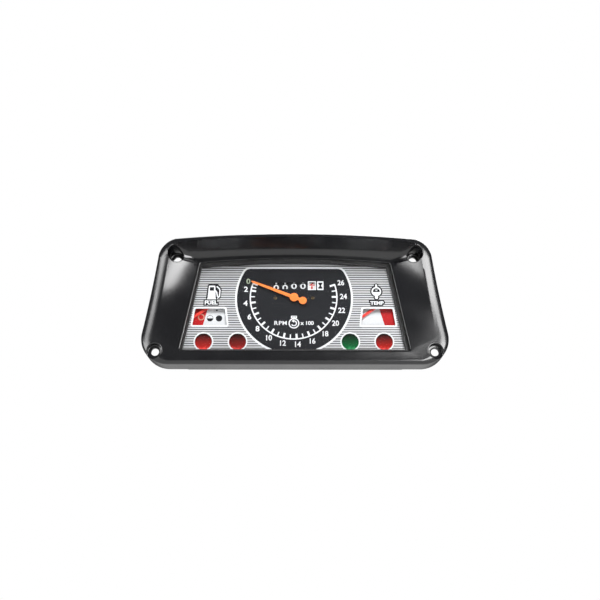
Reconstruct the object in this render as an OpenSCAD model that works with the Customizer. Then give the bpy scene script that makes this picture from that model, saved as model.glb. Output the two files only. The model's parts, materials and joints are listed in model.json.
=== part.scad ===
// Instrument panel with a tachometer, hour meter, fuel gauge, temperature gauge and four
// warning lamps. X runs to the right as the driver sees it, Y runs away from the driver
// into the dashboard and Z runs up. X = 0 is the middle of the bezel, Y = 0 is the panel
// that the bezel's skirt seats on, and Z = 0 is the height of the tachometer pointer's
// spindle.

/* [Bezel] */
// Greatest width of the bezel, across its lower corners
bezel_w = 290; // [270:1:330]
// Height of the lower edge of the bezel, below the pointer spindle
bezel_low = 67.2; // [64:0.1:76]
// Height of the top edge at the upper corners, above the pointer spindle
bezel_high = 50.2; // [46:0.1:58]
// Rise of the arched top edge from its corners to its middle
top_arch = 5.7; // [1:0.1:9]
// Lean of the two sides from upright
side_lean = 10.9; // [6:0.1:12]
// Radius of the two upper corners
upper_corner_r = 17; // [14:0.5:24]
// Radius of the two lower corners
lower_corner_r = 26; // [16:0.5:30]
// Depth of the bezel at its lower edge
rim_low = 22.5; // [20:0.5:26]
// Depth of the hood at the top edge
rim_high = 45.5; // [36:0.5:52]
// How far in the rounding along the two sides reaches
side_round = 11; // [6:0.5:13]
// How far that rounding falls away
side_drop = 4.5; // [3:0.5:8]
// Rounding along the hood
hood_round = 4.5; // [4:0.5:8]
// Rounding along the lower edge
lower_round = 4; // [3.5:0.5:5]
// Wall of the bezel
bezel_wall = 2.8; // [2:0.1:3]
// Distance between the two upper fixing holes
upper_hole_pitch = 229; // [224:0.5:234]
// Height of the upper fixing holes
upper_hole_z = 37.5; // [34:0.1:38]
// Distance between the two lower fixing holes
lower_hole_pitch = 263; // [256:0.5:268]
// Depth of the lower fixing holes below the pointer spindle
lower_hole_z = 54.6; // [50:0.1:56]
// Diameter of a fixing hole
hole_d = 7.5; // [5:0.1:8]
// Diameter of the counterbore in front of a fixing hole
counterbore_d = 13.4; // [12:0.1:15]
// Thickness of the floor of a counterbore
floor_t = 3; // [2:0.1:4]
// Rear face of that floor, in front of the panel
floor_back = 14; // [10:0.5:14]

/* [Window] */
// Half width of the window at its lower edge
window_low_half = 108.3; // [104:0.1:110]
// Half width of the window at its upper corners
window_high_half = 91.9; // [88:0.1:94]
// Lower edge of the window, below the pointer spindle
window_low = 54.8; // [53:0.1:56]
// Upper corners of the window, above the pointer spindle
window_high = 32.7; // [30:0.1:33]
// Rise of the window's arched upper edge
window_arch = 4.8; // [1:0.1:5]
// Front face of the window lip, in front of the panel
lip_front = 23; // [22:0.1:24]
// Thickness of the lip that holds the lens
lip_t = 2; // [1.5:0.1:2.5]
// Thickness of the lens
lens_t = 2; // [1.5:0.1:2.5]
// Thickness of the rubber strip behind the lens
seal_t = 1; // [0.6:0.1:1.5]
// Depth of the frame between the lens seal and the dial
spacer_t = 4; // [3.5:0.1:5]
// Thickness of the dial plate
dial_t = 1; // [0.6:0.1:1.2]
// Width of the strip of lens, dial and frame behind the bezel lip
stack_margin = 3; // [2.5:0.1:3.2]
// How far the frame in front of the dial stands in past the bezel lip
frame_inset = 2.6; // [0:0.1:3]
// Corner radius of the black frame's opening
frame_corner_r = 1; // [0.5:0.1:2]

/* [Rear case] */
// Wall of the rear case
case_wall = 2.5; // [2:0.1:3]
// Rear face of the case, behind the panel
case_back = 38; // [36:0.5:42]
// How far the case stands out past the dial plate
case_margin = 0.5; // [0.4:0.1:1]
// Height of the case screws on the upper edge
lug_top_z = 44.2; // [44:0.1:44.4]
// Distance between the case screws on the upper edge
lug_top_pitch = 110; // [80:1:130]
// Radius of a lug and its boss
lug_r = 4.5; // [4:0.1:5]
// Thickness of a lug
lug_t = 2.5; // [2:0.1:3]
// Rear face of the bezel's bosses, in front of the panel
boss_back = 8; // [7:0.1:9]
// Diameter of the case screws
case_screw_d = 3.8; // [3:0.1:4]

/* [Lamps] */
// Sideways place of the outer warning lamps
outer_lamp_x = 85.7; // [83:0.1:88]
// Sideways place of the inner warning lamps
inner_lamp_x = 53.4; // [50:0.1:58]
// Warning lamps' depth below the pointer spindle
lamp_z = 43.7; // [43:0.1:44.5]
// Diameter of a warning lamp's opening in the dial
lamp_d = 16.3; // [12:0.1:17]
// Thickness of a coloured lamp lens
lamp_lens_t = 2; // [1:0.1:2.5]
// Sideways place of the two lamps that light the dial
dial_lamp_x = 47; // [46.5:0.5:48]
// Height of the two lamps that light the dial
dial_lamp_z = 21; // [18:0.5:22]
// Diameter of a lamp holder's body
holder_d = 12; // [10:0.1:13]
// Diameter of a lamp holder's flange
holder_flange_d = 16; // [15:0.1:17]

/* [Gauges] */
// Sideways place of the two small gauges
gauge_x = 80.5; // [78:0.1:82]
// Depth of the gauge pointers' pivots below the tachometer's spindle
gauge_pivot_z = 7.5; // [6.5:0.1:8.5]
// Length of a gauge pointer
gauge_pointer_len = 21; // [18:0.5:22]
// Direction of the gauge pointers at rest, counted round from the right
gauge_rest = 217; // [212:1:225]
// Upper edge of the gauge windows, below the tachometer's spindle
gauge_window_top = 10.8; // [9:0.1:12]
// Lower edge of the gauge windows, below the tachometer's spindle
gauge_window_low = 27.5; // [25:0.1:29]
// Half width of a gauge window at its upper edge
gauge_window_top_half = 14.1; // [11:0.1:15]
// Half width of a gauge window at its lower edge
gauge_window_low_half = 16.5; // [13:0.1:17]
// Rounding of the gauge windows' corners
gauge_corner = 1.2; // [0.5:0.1:3]
// Distance between the two studs of a gauge
stud_pitch = 20; // [16:0.5:22]
// Diameter of a stud
stud_d = 4; // [3:0.1:5]

/* [Tachometer] */
// How far the dial and the movement sit to the left of the bezel's middle
dial_shift = 1.1; // [0:0.1:1.5]
// Length of the tachometer pointer from its spindle
pointer_len = 44.7; // [36:0.1:46]
// Direction of the tachometer pointer at rest, counted round from the right
pointer_rest = 158.5; // [150:0.5:165]
// Diameter of the pointer's hub
pointer_hub_d = 8.4; // [6:0.1:10]
// Diameter of the pointer's counterweight
counterweight_d = 7.5; // [5:0.1:8]
// Distance of the counterweight from the spindle
counterweight_x = 9.1; // [8.5:0.1:11]
// Diameter of the pointer's spindle
spindle_d = 1.6; // [1.2:0.1:2]
// Diameter of the drag cup
cup_d = 30; // [26:0.5:31]
// Diameter of the magnet
magnet_d = 24; // [20:0.5:25]
// Diameter of the drive spindle in its bearings
drive_d = 6; // [5:0.1:7]
// Outer diameter of the drive socket's thread
socket_thread_d = 22.2; // [20:0.1:24]
// Length of the drive socket's thread
socket_len = 15; // [12:0.5:18]
// Bore of the drive socket for the cable's ferrule
ferrule_d = 15; // [13:0.1:16]
// Depth of the ferrule bore
ferrule_len = 10; // [8:0.5:10]
// Width of the square hole for the cable's inner core
square_w = 3.2; // [2.6:0.1:3.6]
// Outer radius of the can round the gear train
can_r = 34.9; // [34.9:0.1:35.5]
// How far the can stands out behind the case
can_depth = 17; // [16.5:0.5:22]

/* [Hour meter] */
// Diameter of the number wheels
wheel_d = 20; // [19:0.1:20.6]
// Distance from one number wheel to the next
wheel_pitch = 8.65; // [8.5:0.05:8.8]
// Width of the printed rim of a number wheel
wheel_rim_w = 5.4; // [5:0.1:5.6]
// Height of the number wheels' shaft above the tachometer's spindle
wheel_z = 12.6; // [12.6:0.1:13.2]
// Diameter of the number wheels' shaft
counter_shaft_d = 2.4; // [2:0.1:3]
// Tooth size of the rings and pinions, pitch diameter over the number of teeth
carry_module = 0.8; // [0.7:0.05:0.8]

/* [Clearances] */
// Gap round parts that drop into a place
fit_gap = 0.3; // [0.2:0.05:0.4]
// Gap round a screw or stud in its hole
screw_gap = 0.1; // [0.05:0.05:0.2]
// Running gap between a shaft and its bearing
run_gap = 0.05; // [0.03:0.01:0.08]
// Gap between the teeth of a gear and the teeth that drive it
mesh_gap = 0.2; // [0.15:0.05:0.3]

/* [Hidden] */
$fn = 48;

// Colours
BLACK = [0.09, 0.09, 0.1];
STEEL = [0.72, 0.73, 0.75];
BRASS = [0.78, 0.62, 0.3];
WHITE = [0.93, 0.93, 0.9];
ORANGE = [0.95, 0.5, 0.1];
COPPER = [0.45, 0.3, 0.12];
DARK_ALLOY = [0.3, 0.3, 0.32];
LAMP_COLOURS = ["red", "firebrick", "green", "crimson"];

// How far a cut runs past the face it leaves, how far two forms run into each other where
// they are one piece, and the gap of a part that is pressed on
over = 1;
weld = 0.5;
press_gap = 0.01;

// Steps of the outlines
low_steps = 4;
corner_steps = 8;
side_steps = 3;
top_steps = 8;

// The bezel's outline before its corners are rounded
bezel_lean_z = bezel_high + bezel_low;
bezel_low_half = bezel_w / 2
    + lower_corner_r * (tan(side_lean) + 1 / cos(side_lean) - 1);
bezel_high_half = bezel_low_half - bezel_lean_z * tan(side_lean);
BEZEL = [bezel_low_half, bezel_high_half, -bezel_low, bezel_high, top_arch];
WINDOW = [window_low_half, window_high_half, -window_low, window_high, window_arch];
window_corner_r = 2;

// Faces of the stack behind the window, counted as Y
lens_front = -lip_front + lip_t;
seal_front = lens_front + lens_t;
spacer_front = seal_front + seal_t;
dial_front = spacer_front + spacer_t;
dial_back = dial_front + dial_t;
case_front = dial_back;
wall_front = case_back - case_wall;
case_grow = stack_margin + case_margin;
seal_inset = 1;
frame_r = frame_inset + frame_corner_r;

// Collar of the bezel round the stack, counterbores and ribs under the hood
collar_wall = 1.6;
collar_start = 3;
collar_end_gap = 0.5;
cup_wall = 2.4;
hood_rib_t = 1.8;
hood_rib_xs = [-84, -28, 28, 84];
hood_rib_back = 16;
slope_steps = [0.15, 0.35, 0.65];
slope_step = 0.02;
side_fall = 1.5;
hood_fall = 2.6;
hood_spread = 0.35;
hood_rise = 2.3;
hood_wall_extra = 0.8;

// Places of the bezel bosses that the case screws into
side_lug_zs = [5, -38];
side_lug_gap = 2;
lug_top_reach = 7.5;
lug_side_reach = 3.5;
pilot_len = 9;
case_screw_len = 10;
case_head_r = case_screw_d / 2 + 1.6;
case_head_t = 2.4;
function case_half(z) = window_low_half + case_grow
    - (z + window_low) * (window_low_half - window_high_half) / (window_high + window_low);
lug_places = concat(
    [for (s = [-1, 1]) [s * lug_top_pitch / 2, lug_top_z]],
    [for (s = [-1, 1]) for (z = side_lug_zs) [s * (case_half(z) + lug_r + side_lug_gap), z]]);

// Ribs on the upper wall of the case, drain slots in its lower wall and pegs for the circuit
case_rib_xs = [-76, -36, -12, 12, 36, 76];
case_rib_t = 1.6;
case_rib_h = 1.5;
case_rib_front = 2;
drain_x = 30;
drain_w = 8;
drain_len = 3;
peg_places = [[-95, -25], [-62, -20], [62, -20], [95, -25]];
peg_r = 1.5;
peg_len = 1.5;

// Lamps, left to right, then the two that light the dial
lamp_xs = [-outer_lamp_x, -inner_lamp_x, inner_lamp_x, outer_lamp_x];
holder_places = concat([for (x = lamp_xs) [x, -lamp_z]],
    [for (s = [-1, 1]) [s * dial_lamp_x, dial_lamp_z]]);
tube_r = lamp_d / 2;
lens_r = tube_r + 1;
lens_ledge = 0.2;
tube_wall = 1.5;
dial_tube_len = 8;
holder_r = holder_d / 2;
holder_front = case_back - 9;
flange_t = 1.8;
grip_core_len = 7;
grip_t = 1.8;
grip_end = 8.5;
grip_inset = 1;
ear_w = 3;
ear_t = 1.6;
ear_reach = 1.4;
notch_gap = 0.2;
ear_room = 0.55;
holder_bore_r = holder_r + ear_reach + ear_room;
ledge_t = 1;
bulb_r = 3.9;
bulb_seat_r = 4.2;
bulb_seat_len = 6;
bulb_front = 5;

// Printed circuit, wiring socket and voltage stabiliser
foil_t = 0.3;
foil_inset = 3.5;
foil_gap = 0.3;
can_clearance = 5.2;
fixture_y = case_back + foil_t;
socket_x = -74;
socket_z = 20;
shell_w = 34;
shell_h = 14;
shell_len = 12;
shell_wall = 2;
shell_rib_t = 2;
shell_rib_h = 1;
pin_count = 7;
pin_pitch = 4;
pin_w = 2;
pin_t = 0.8;
pin_gap = 0.1;
pin_end_gap = 2.5;
stabiliser_x = 74;
stabiliser_z = 20;
stabiliser_w = 22;
stabiliser_len = 10;
stabiliser_h = 13;
stabiliser_foot_w = 30;
stabiliser_foot_h = 8;
stabiliser_foot_t = 1;
tab_pitch = 12;
tab_w = 6;
tab_t = 0.8;
tab_len = 7;

// Gauge parts, counted as Y
scale_front = dial_back + 2.7;
scale_t = 0.5;
scale_low = 3;
scale_high = 2.5;
scale_side = 1.2;
base_t = 2.5;
base_low = 2;
scale_back = scale_front + scale_t;
base_back = scale_back + base_t;
gauge_pointer_front = dial_back + 1;
gauge_pointer_t = 0.6;
gauge_hub_r = 2.4;
gauge_tail = 3.5;
pivot_boss_r = 3;
pivot_boss_len = 4;
arbor_r = 0.6;
arbor_end = 5.5;
stud_z = 2;
stud_len = 9.7;
stud_end = 8;
pillar_r = 4.5;
washer_r = stud_d / 2 + 2.6;
washer_t = 0.8;
nut_r = stud_d / 2 + 2;
nut_t = 3;
bimetal_x = 6;
bimetal_z = -19;
bimetal_len = 14;
bimetal_t = 0.4;
bimetal_foot = 2.4;

// Tachometer movement, counted as Y
dial_screw_r = 1;
dial_screw_len = 6;
dial_head_r = 1.8;
dial_head_t = 1.1;
spindle_hole_gap = 1.4;
hub_front = dial_front - 3.2;
hub_t = 1.2;
needle_front = hub_front + 0.3;
needle_back = hub_front + 1;
needle_half = 1.7;
needle_tail_half = 1.4;
needle_tip_half = 0.8;
wheel_y = dial_back + wheel_d / 2 + 0.5;
bridge_front = wheel_y + wheel_d / 2 + 1;
bridge_t = 1.5;
bridge_low = 7;
bridge_high = 13;
bridge_boss_r = 2.4;
bridge_boss_len = 3;
bridge_pillar_r = 2;
bridge_back = bridge_front + bridge_t;
spring_y = bridge_back + 0.8;
spring_w = 0.9;
frame_t = 2.5;
frame_back = wall_front - 2;
frame_front = frame_back - frame_t;
frame_h = 46;
frame_drop = 0.5;
frame_ear_r = 4.6;
frame_arm_w = 7;
frame_leg_r = 4;
magnet_len = 5.2;
magnet_back = frame_front - 4;
magnet_front = magnet_back - magnet_len;
magnet_core_r = 2;
magnet_fit = 0.02;
cup_t = 0.6;
cup_front = magnet_front - 1 - cup_t;
cup_back = magnet_back - 0.4;
flux_r = cup_d / 2 + 2.5;
flux_t = 1.5;
train_y = case_back + 6;
spindle_r = spindle_d / 2;
collet_r = 1.8;
drive_r = drive_d / 2;
drive_gap = 2;
pillar_x = 18;
spring_turns = 3;
spring_steps = 12;
spring_in = 2.4;
spring_out = 7;
spring_half_t = 0.12;
spring_post = 1.6;

// Gear train: the drive worm, the first wheel, the second worm, the second wheel and the
// worm that turns the tenths wheel
worm_1_r = 2.5;
worm_2_r = 2.2;
worm_3_r = 2.15;
worm_2_half = 2.8;
worm_3_half = 4;
first_teeth = 36;
second_teeth = 30;
tenths_teeth = 50;
tooth_h = 0.9;
tenths_tooth_h = 0.8;
first_wheel_w = 3;
second_wheel_w = 2.5;
tenths_wheel_w = 2;
tenths_gear_r = wheel_d / 2;
second_wheel_r = 8.6;
lay_2_x = 23;
lay_2_z = wheel_z - tenths_gear_r - worm_3_r;
lay_1_z = lay_2_z - second_wheel_r - worm_2_r - mesh_gap;
first_wheel_r = -lay_1_z - worm_1_r - mesh_gap;
lay_r = 1;
lay_1_ends = [-11.5, 28.2];
lay_2_front = 5;
lay_2_end = 2.5;
bracket_xs = [-11, 26.2];
bracket_t = 1.6;
bracket_h = 5;
bracket_past = 3;
cheek_x = 27;
cheek_t = 1.5;
cheek_low = 8;
cheek_h = 30;
cheek_front_h = 15;

// Number wheels, left to right, and their carry pinions
ring_teeth = 20;
pinion_teeth = 8;
wheel_xs = [for (i = [-2:2]) i * wheel_pitch];
hour_slot_w = wheel_rim_w + 0.5;
hour_slot_h = 7;
hub_r = 2.6;
tip_factor = 2;
root_factor = 2.5;
ring_tip_r = carry_module * (ring_teeth + tip_factor) / 2;
ring_root_r = carry_module * (ring_teeth - root_factor) / 2;
pinion_tip_r = carry_module * (pinion_teeth + tip_factor) / 2;
pinion_root_r = carry_module * (pinion_teeth - root_factor) / 2;
carry_distance = carry_module * (ring_teeth + pinion_teeth) / 2 + mesh_gap;
pinion_angle = 40;
pinion_y = wheel_y + carry_distance * cos(pinion_angle);
pinion_z = wheel_z + carry_distance * sin(pinion_angle);
pinion_w = 2.9;
pinion_start = 0.2;
counter_r = counter_shaft_d / 2;
pinion_shaft_r = 1;
wheel_side_gap = 0.1;
carry_disc_t = 0.5;
carry_finger = 9;
finger_len = 2;
finger_w = 1;
ring_left = wheel_rim_w / 2;
ring_right = ring_left + 2.6;
rim_weld = 0.1;
last_disc_r = 6;
last_disc_t = 2.1;

// Rear can, its lugs and the frame's pillars
can_wall = 1.7;
can_floor = 2;
can_rim = 1.2;
can_lug_angles = [195, 270, 345];
can_lug_plan_r = 4.5;
can_lug_r = can_r + 3.6;
can_lug_t = 2.5;
can_screw_r = 1.6;
can_head_r = 3;
can_head_t = 2.2;
can_screw_inside = 1.5;
case_opening_r = 31.5;
socket_flange_r = 16;
socket_flange_t = 3;
can_back = case_back + can_depth;
thread_front = can_back + socket_flange_t;
socket_back = thread_front + socket_len;
socket_r = socket_thread_d / 2;
drive_end = thread_front + 2;
square_len = 6;

// Outlines

// Angle of an outline's side from upright
function lean(o) = atan((o[0] - o[1]) / (o[3] - o[2]));
// Rise of the arched top at a point of an outline
function lift(o, p) = o[4] * (1 - pow(p[0] / o[1], 2))
    * max(0, min(1, (p[1] - o[2]) / (o[3] - o[2])));
function lifted(o, p) = [p[0], p[1] + lift(o, p)];
// Centres of the right-hand corners for corner radius r
function low_corner(o, r) = [o[0] - r * tan(lean(o)) - r / cos(lean(o)), o[2] + r];
function high_corner(o, r) =
    [o[0] - (o[3] - r - o[2]) * tan(lean(o)) - r / cos(lean(o)), o[3] - r];
function heading(a) = [cos(a), sin(a)];
// Outward directions of the right half of an outline, from bottom to top
function half_headings(o) = concat(
    [for (i = [0:low_steps - 1]) -90],
    [for (i = [0:corner_steps]) -90 + (90 + lean(o)) * i / corner_steps],
    [for (i = [1:side_steps - 1]) lean(o)],
    [for (i = [0:corner_steps]) lean(o) + (90 - lean(o)) * i / corner_steps],
    [for (i = [1:top_steps]) 90]);
// Points that the corner radius is added to, in the same order. r is the radius of the lower
// corner and the radius of the upper corner.
function half_centres(o, r) = let (a = low_corner(o, r[0]), b = high_corner(o, r[1])) concat(
    [for (i = [0:low_steps - 1]) [a[0] * i / low_steps, a[1]]],
    [for (i = [0:corner_steps]) a],
    [for (i = [1:side_steps - 1]) a + (b - a) * i / side_steps],
    [for (i = [0:corner_steps]) b],
    [for (i = [top_steps - 1:-1:0]) [b[0] * i / top_steps, b[1]]]);
// The radius to add at each of them
function half_radii(r) = concat(
    [for (i = [0:low_steps + corner_steps]) r[0]],
    [for (i = [1:side_steps - 1]) mix(r[0], r[1], i / side_steps)],
    [for (i = [0:corner_steps + top_steps]) r[1]]);
// The right half of an outline, grown outwards by d
function half_outline(o, r, d) = let (
        c = half_centres(o, r),
        radii = half_radii(r),
        h = half_headings(o))
    [for (i = [0:len(c) - 1]) lifted(o, c[i] + (radii[i] + d) * heading(h[i]))];
// A whole outline: the right half, then its mirror image without the two middle points
function whole(half) = concat(half,
    [for (i = [len(half) - 2:-1:1]) [-half[i][0], half[i][1]]]);
function outline(o, r, d) = whole(half_outline(o, r, d));
function window_outline(d) = outline(WINDOW, [window_corner_r, window_corner_r], d);
function mix(a, b, t) = a + (b - a) * t;

// Shapes that repeat

// A plate in the X-Z plane from y0 back to y1
module plate(y0, y1) {
    translate([0, y1, 0]) rotate([90, 0, 0]) linear_extrude(y1 - y0) children();
}
// A round bar along Y
module bar_y(x, z, r, y0, y1) {
    translate([x, y0, z]) rotate([-90, 0, 0]) cylinder(h = y1 - y0, r = r);
}
// A round bar along X
module bar_x(y, z, r, x0, x1) {
    translate([x0, y, z]) rotate([0, 90, 0]) cylinder(h = x1 - x0, r = r);
}
// A box from its lowest corner to its highest
module block(a, b) {
    translate(a) cube(b - a);
}
// A straight-sided gear blank of the given tooth count, as a 2-D outline
module gear_outline(teeth, tip, root) {
    step = 360 / teeth;
    tooth = [[0.3, root], [0.14, tip], [-0.14, tip], [-0.3, root]];
    polygon([for (i = [0:teeth - 1]) for (k = tooth) k[1] * heading(i * step - k[0] * step)]);
}
// The plan of a window behind the bezel, from one growth to another
module window_ring(inner, outer) {
    difference() {
        polygon(window_outline(outer));
        polygon(window_outline(inner));
    }
}
// Puts its children at the dial's sideways shift
module on_dial() {
    translate([-dial_shift, 0, 0]) children();
}
// Repeats its children at the lugs of the can
module at_can_lugs() {
    for (a = can_lug_angles)
        translate([can_lug_r * cos(a), 0, can_lug_r * sin(a)]) children();
}

// Bezel

// Depth of the rim in front of the panel, at height z: it grows fastest near the hood
function rim(z) = mix(rim_low, rim_high,
    pow(max(0, z + bezel_low) / (bezel_lean_z + top_arch), hood_rise));
// The rounding where the outline faces the direction a: how far in it reaches, and how far
// it falls
function end_round(a) = sin(a) > 0 ? hood_round : lower_round;
function round_reach(a) = mix(end_round(a), side_round, abs(cos(a)));
function round_fall(a) = mix(end_round(a), side_drop, abs(cos(a)));
// How much of the face's shape at direction a is the hood's
function hood_share(a) = pow(max(0, sin(a)), hood_spread);
// Part of the fall from the crest to the window that is still to come at t. A hood falls
// steeply at first, and a side falls late.
function fall_left(a, t) = mix(1 - pow(t, side_fall), pow(1 - t, hood_fall), hood_share(a));
function slope_y(crest, a, t) = -lip_front + (crest + lip_front) * fall_left(a, t);
// The inside of the wall behind it, where the slope is run long
function inner_y(crest, a, t, run) = let (
        steep = (slope_y(crest, a, t + slope_step) - slope_y(crest, a, t - slope_step))
            / (2 * slope_step * run))
    slope_y(crest, a, t) + bezel_wall * sqrt(1 + steep * steep);
// The bezel's section at a point of its right half: a closed loop from the rear edge of
// the skirt, over the rim, down to the window and back inside the wall
function section(p, h, w, wh) = let (
        n = heading(h),
        reach = round_reach(h),
        fall = round_fall(h),
        crest = p - n * reach,
        crest_y = -rim(crest[1]),
        run = norm(w - crest),
        inner = p - n * bezel_wall,
        back = w + bezel_wall * heading(wh))
    concat(
        [[p, 0], [p, crest_y + fall]],
        [for (a = [30, 60])
            [p - n * reach * (1 - cos(a)), crest_y + fall * (1 - sin(a))]],
        [[crest, crest_y]],
        [for (t = slope_steps) [mix(crest, w, t), slope_y(crest_y, h, t)]],
        [[w, -lip_front], [w, lens_front], [back, lens_front]],
        [for (i = [len(slope_steps) - 1:-1:0]) let (t = slope_steps[i])
            [mix(crest, back, t), inner_y(crest_y, h, t, run)]],
        [[crest, crest_y + bezel_wall * (1 + hood_wall_extra * hood_share(h))],
            [inner, crest_y + fall + bezel_wall / 2], [inner, 0]]);
function as_point(q) = [q[0][0], q[1], q[0][1]];
function mirrored(q) = [-q[0], q[1], q[2]];
bezel_half = half_outline(BEZEL, [lower_corner_r, upper_corner_r], 0);
bezel_headings = half_headings(BEZEL);
window_half = half_outline(WINDOW, [window_corner_r, window_corner_r], 0);
window_headings = half_headings(WINDOW);
bezel_sections = [for (i = [0:len(bezel_half) - 1])
    [for (q = section(bezel_half[i], bezel_headings[i], window_half[i], window_headings[i]))
        as_point(q)]];
whole_sections = concat(bezel_sections,
    [for (i = [len(bezel_sections) - 2:-1:1]) [for (q = bezel_sections[i]) mirrored(q)]]);
section_points = len(bezel_sections[0]);
outer_points = 6 + len(slope_steps);
section_count = len(whole_sections);
// Two triangles between neighbouring sections i and j, at point a of m in each
function quad(i, j, a, b, m) = [[i * m + a, j * m + b, j * m + a],
    [i * m + a, i * m + b, j * m + b]];

module bezel_shell() {
    m = section_points;
    faces = [for (i = [0:section_count - 1]) for (a = [0:m - 1])
        for (t = quad(i, (i + 1) % section_count, a, (a + 1) % m, m)) t];
    polyhedron([for (s = whole_sections) for (q = s) q], faces, convexity = 6);
}
// The space inside the bezel's outer face, closed at the panel and at the window
module bezel_envelope() {
    m = outer_points;
    count = section_count * m;
    next = function(i) (i + 1) % section_count;
    sides = [for (i = [0:section_count - 1]) for (a = [0:m - 2])
        for (t = quad(i, next(i), a, a + 1, m)) t];
    rear = [for (i = [0:section_count - 1]) [count, i * m, next(i) * m]];
    front = [for (i = [0:section_count - 1])
        [count + 1, next(i) * m + m - 1, i * m + m - 1]];
    polyhedron(concat([for (s = whole_sections) for (k = [0:m - 1]) s[k]],
        [[0, 0, 0], [0, -lip_front, 0]]), concat(sides, rear, front), convexity = 6);
}
hole_places = concat(
    [for (s = [-1, 1]) [s * upper_hole_pitch / 2, upper_hole_z]],
    [for (s = [-1, 1]) [s * lower_hole_pitch / 2, -lower_hole_z]]);

module bezel() {
    collar_inner = stack_margin + fit_gap;
    color(BLACK) difference() {
        union() {
            bezel_shell();
            intersection() {
                bezel_envelope();
                union() {
                    for (p = hole_places)
                        bar_y(p[0], p[1], counterbore_d / 2 + cup_wall, -rim_high, -floor_back);
                    for (p = lug_places)
                        bar_y(p[0], p[1], lug_r, -rim_high, -boss_back);
                    plate(-lip_front - collar_start, case_front - collar_end_gap)
                        window_ring(collar_inner, collar_inner + collar_wall);
                    for (x = hood_rib_xs)
                        block([x - hood_rib_t / 2, -rim_high, window_high + window_arch],
                            [x + hood_rib_t / 2, -hood_rib_back, bezel_high + top_arch]);
                }
            }
        }
        plate(lens_front, over) polygon(window_outline(collar_inner));
        for (p = hole_places) {
            bar_y(p[0], p[1], hole_d / 2, -rim_high, over);
            bar_y(p[0], p[1], counterbore_d / 2, -rim_high - over, -floor_back - floor_t);
        }
        for (p = lug_places)
            bar_y(p[0], p[1], case_screw_d / 2 + screw_gap, -boss_back - pilot_len, over);
    }
}

// Window and dial

module window_lens() {
    color("white", 0.25) plate(lens_front, seal_front) polygon(window_outline(stack_margin));
}
module lens_seal() {
    color(BLACK) plate(seal_front, spacer_front) window_ring(-seal_inset, stack_margin);
}
module dial_spacer() {
    color(BLACK) plate(spacer_front, dial_front) difference() {
        polygon(window_outline(stack_margin));
        on_dial() polygon(outline(WINDOW, [frame_r, frame_r], -frame_inset));
    }
}
// A corner at p between points a and b, cut back by d and rounded with three points
function soft_corner(a, p, b, d) = let (
        u = p + d * (a - p) / norm(a - p),
        v = p + d * (b - p) / norm(b - p))
    [u, (u + 2 * p + v) / 4, v];
// A gauge window, wider at its lower edge, on the side s of the dial
module gauge_window(s) {
    c = s * gauge_x;
    corners = [[c - gauge_window_low_half, -gauge_window_low],
        [c + gauge_window_low_half, -gauge_window_low],
        [c + gauge_window_top_half, -gauge_window_top],
        [c - gauge_window_top_half, -gauge_window_top]];
    polygon([for (i = [0:3])
        for (q = soft_corner(corners[(i + 3) % 4], corners[i], corners[(i + 1) % 4],
            gauge_corner)) q]);
}
module dial_plate() {
    color(STEEL) plate(dial_front, dial_back) difference() {
        polygon(window_outline(stack_margin));
        on_dial() {
            for (x = lamp_xs) translate([x, -lamp_z]) circle(r = tube_r);
            for (s = [-1, 1]) gauge_window(s);
            for (x = wheel_xs)
                translate([x, wheel_z]) square([hour_slot_w, hour_slot_h], center = true);
            circle(r = spindle_r + spindle_hole_gap);
            for (s = [-1, 1])
                translate([s * pillar_x, 0]) circle(r = dial_screw_r + screw_gap);
        }
    }
}
module dial_screws() {
    color(STEEL) on_dial() for (s = [-1, 1]) {
        bar_y(s * pillar_x, 0, dial_screw_r, dial_front - rim_weld, dial_back + dial_screw_len);
        bar_y(s * pillar_x, 0, dial_head_r, dial_front - dial_head_t, dial_front);
    }
}
module tach_pointer() {
    color(ORANGE) on_dial() difference() {
        union() {
            bar_y(0, 0, pointer_hub_d / 2, hub_front, hub_front + hub_t);
            rotate([0, -pointer_rest, 0]) {
                bar_y(-counterweight_x, 0, counterweight_d / 2, needle_front,
                    hub_front + hub_t);
                plate(needle_front, needle_back) polygon([
                    [-counterweight_x, -needle_tail_half], [-counterweight_x, needle_tail_half],
                    [0, needle_half], [pointer_len - needle_tip_half, needle_tip_half],
                    [pointer_len, 0], [pointer_len - needle_tip_half, -needle_tip_half],
                    [0, -needle_half]]);
            }
        }
        bar_y(0, 0, spindle_r + press_gap, hub_front + hub_t - 0.7, hub_front + hub_t + over);
    }
}

// Rear case

module lug_plan(p) {
    up = p[1] == lug_top_z;
    reach = lug_r + (up ? lug_top_reach : lug_side_reach);
    translate(p) circle(r = lug_r);
    translate(p - (up ? [lug_r, reach] : [p[0] > 0 ? reach : 0, lug_r]))
        square(up ? [2 * lug_r, reach] : [reach, 2 * lug_r]);
}
module case_form() {
    plate(case_front, case_back) polygon(window_outline(case_grow));
    for (p = lug_places) plate(-boss_back, -boss_back + lug_t) lug_plan(p);
    plate(case_rib_front, case_back) intersection() {
        polygon(window_outline(case_grow + case_rib_h));
        for (x = case_rib_xs)
            translate([x - case_rib_t / 2, 0]) square([case_rib_t, bezel_high + top_arch]);
    }
    for (p = peg_places) bar_y(p[0], p[1], peg_r, case_back - weld, case_back + peg_len);
}
module case_tubes() {
    on_dial() {
        for (x = lamp_xs)
            bar_y(x, -lamp_z, max(lens_r, holder_bore_r) + tube_wall, case_front, wall_front + weld);
        for (s = [-1, 1])
            bar_y(s * dial_lamp_x, dial_lamp_z, max(tube_r, holder_bore_r) + tube_wall,
                wall_front - dial_tube_len, wall_front + weld);
    }
}
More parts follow.
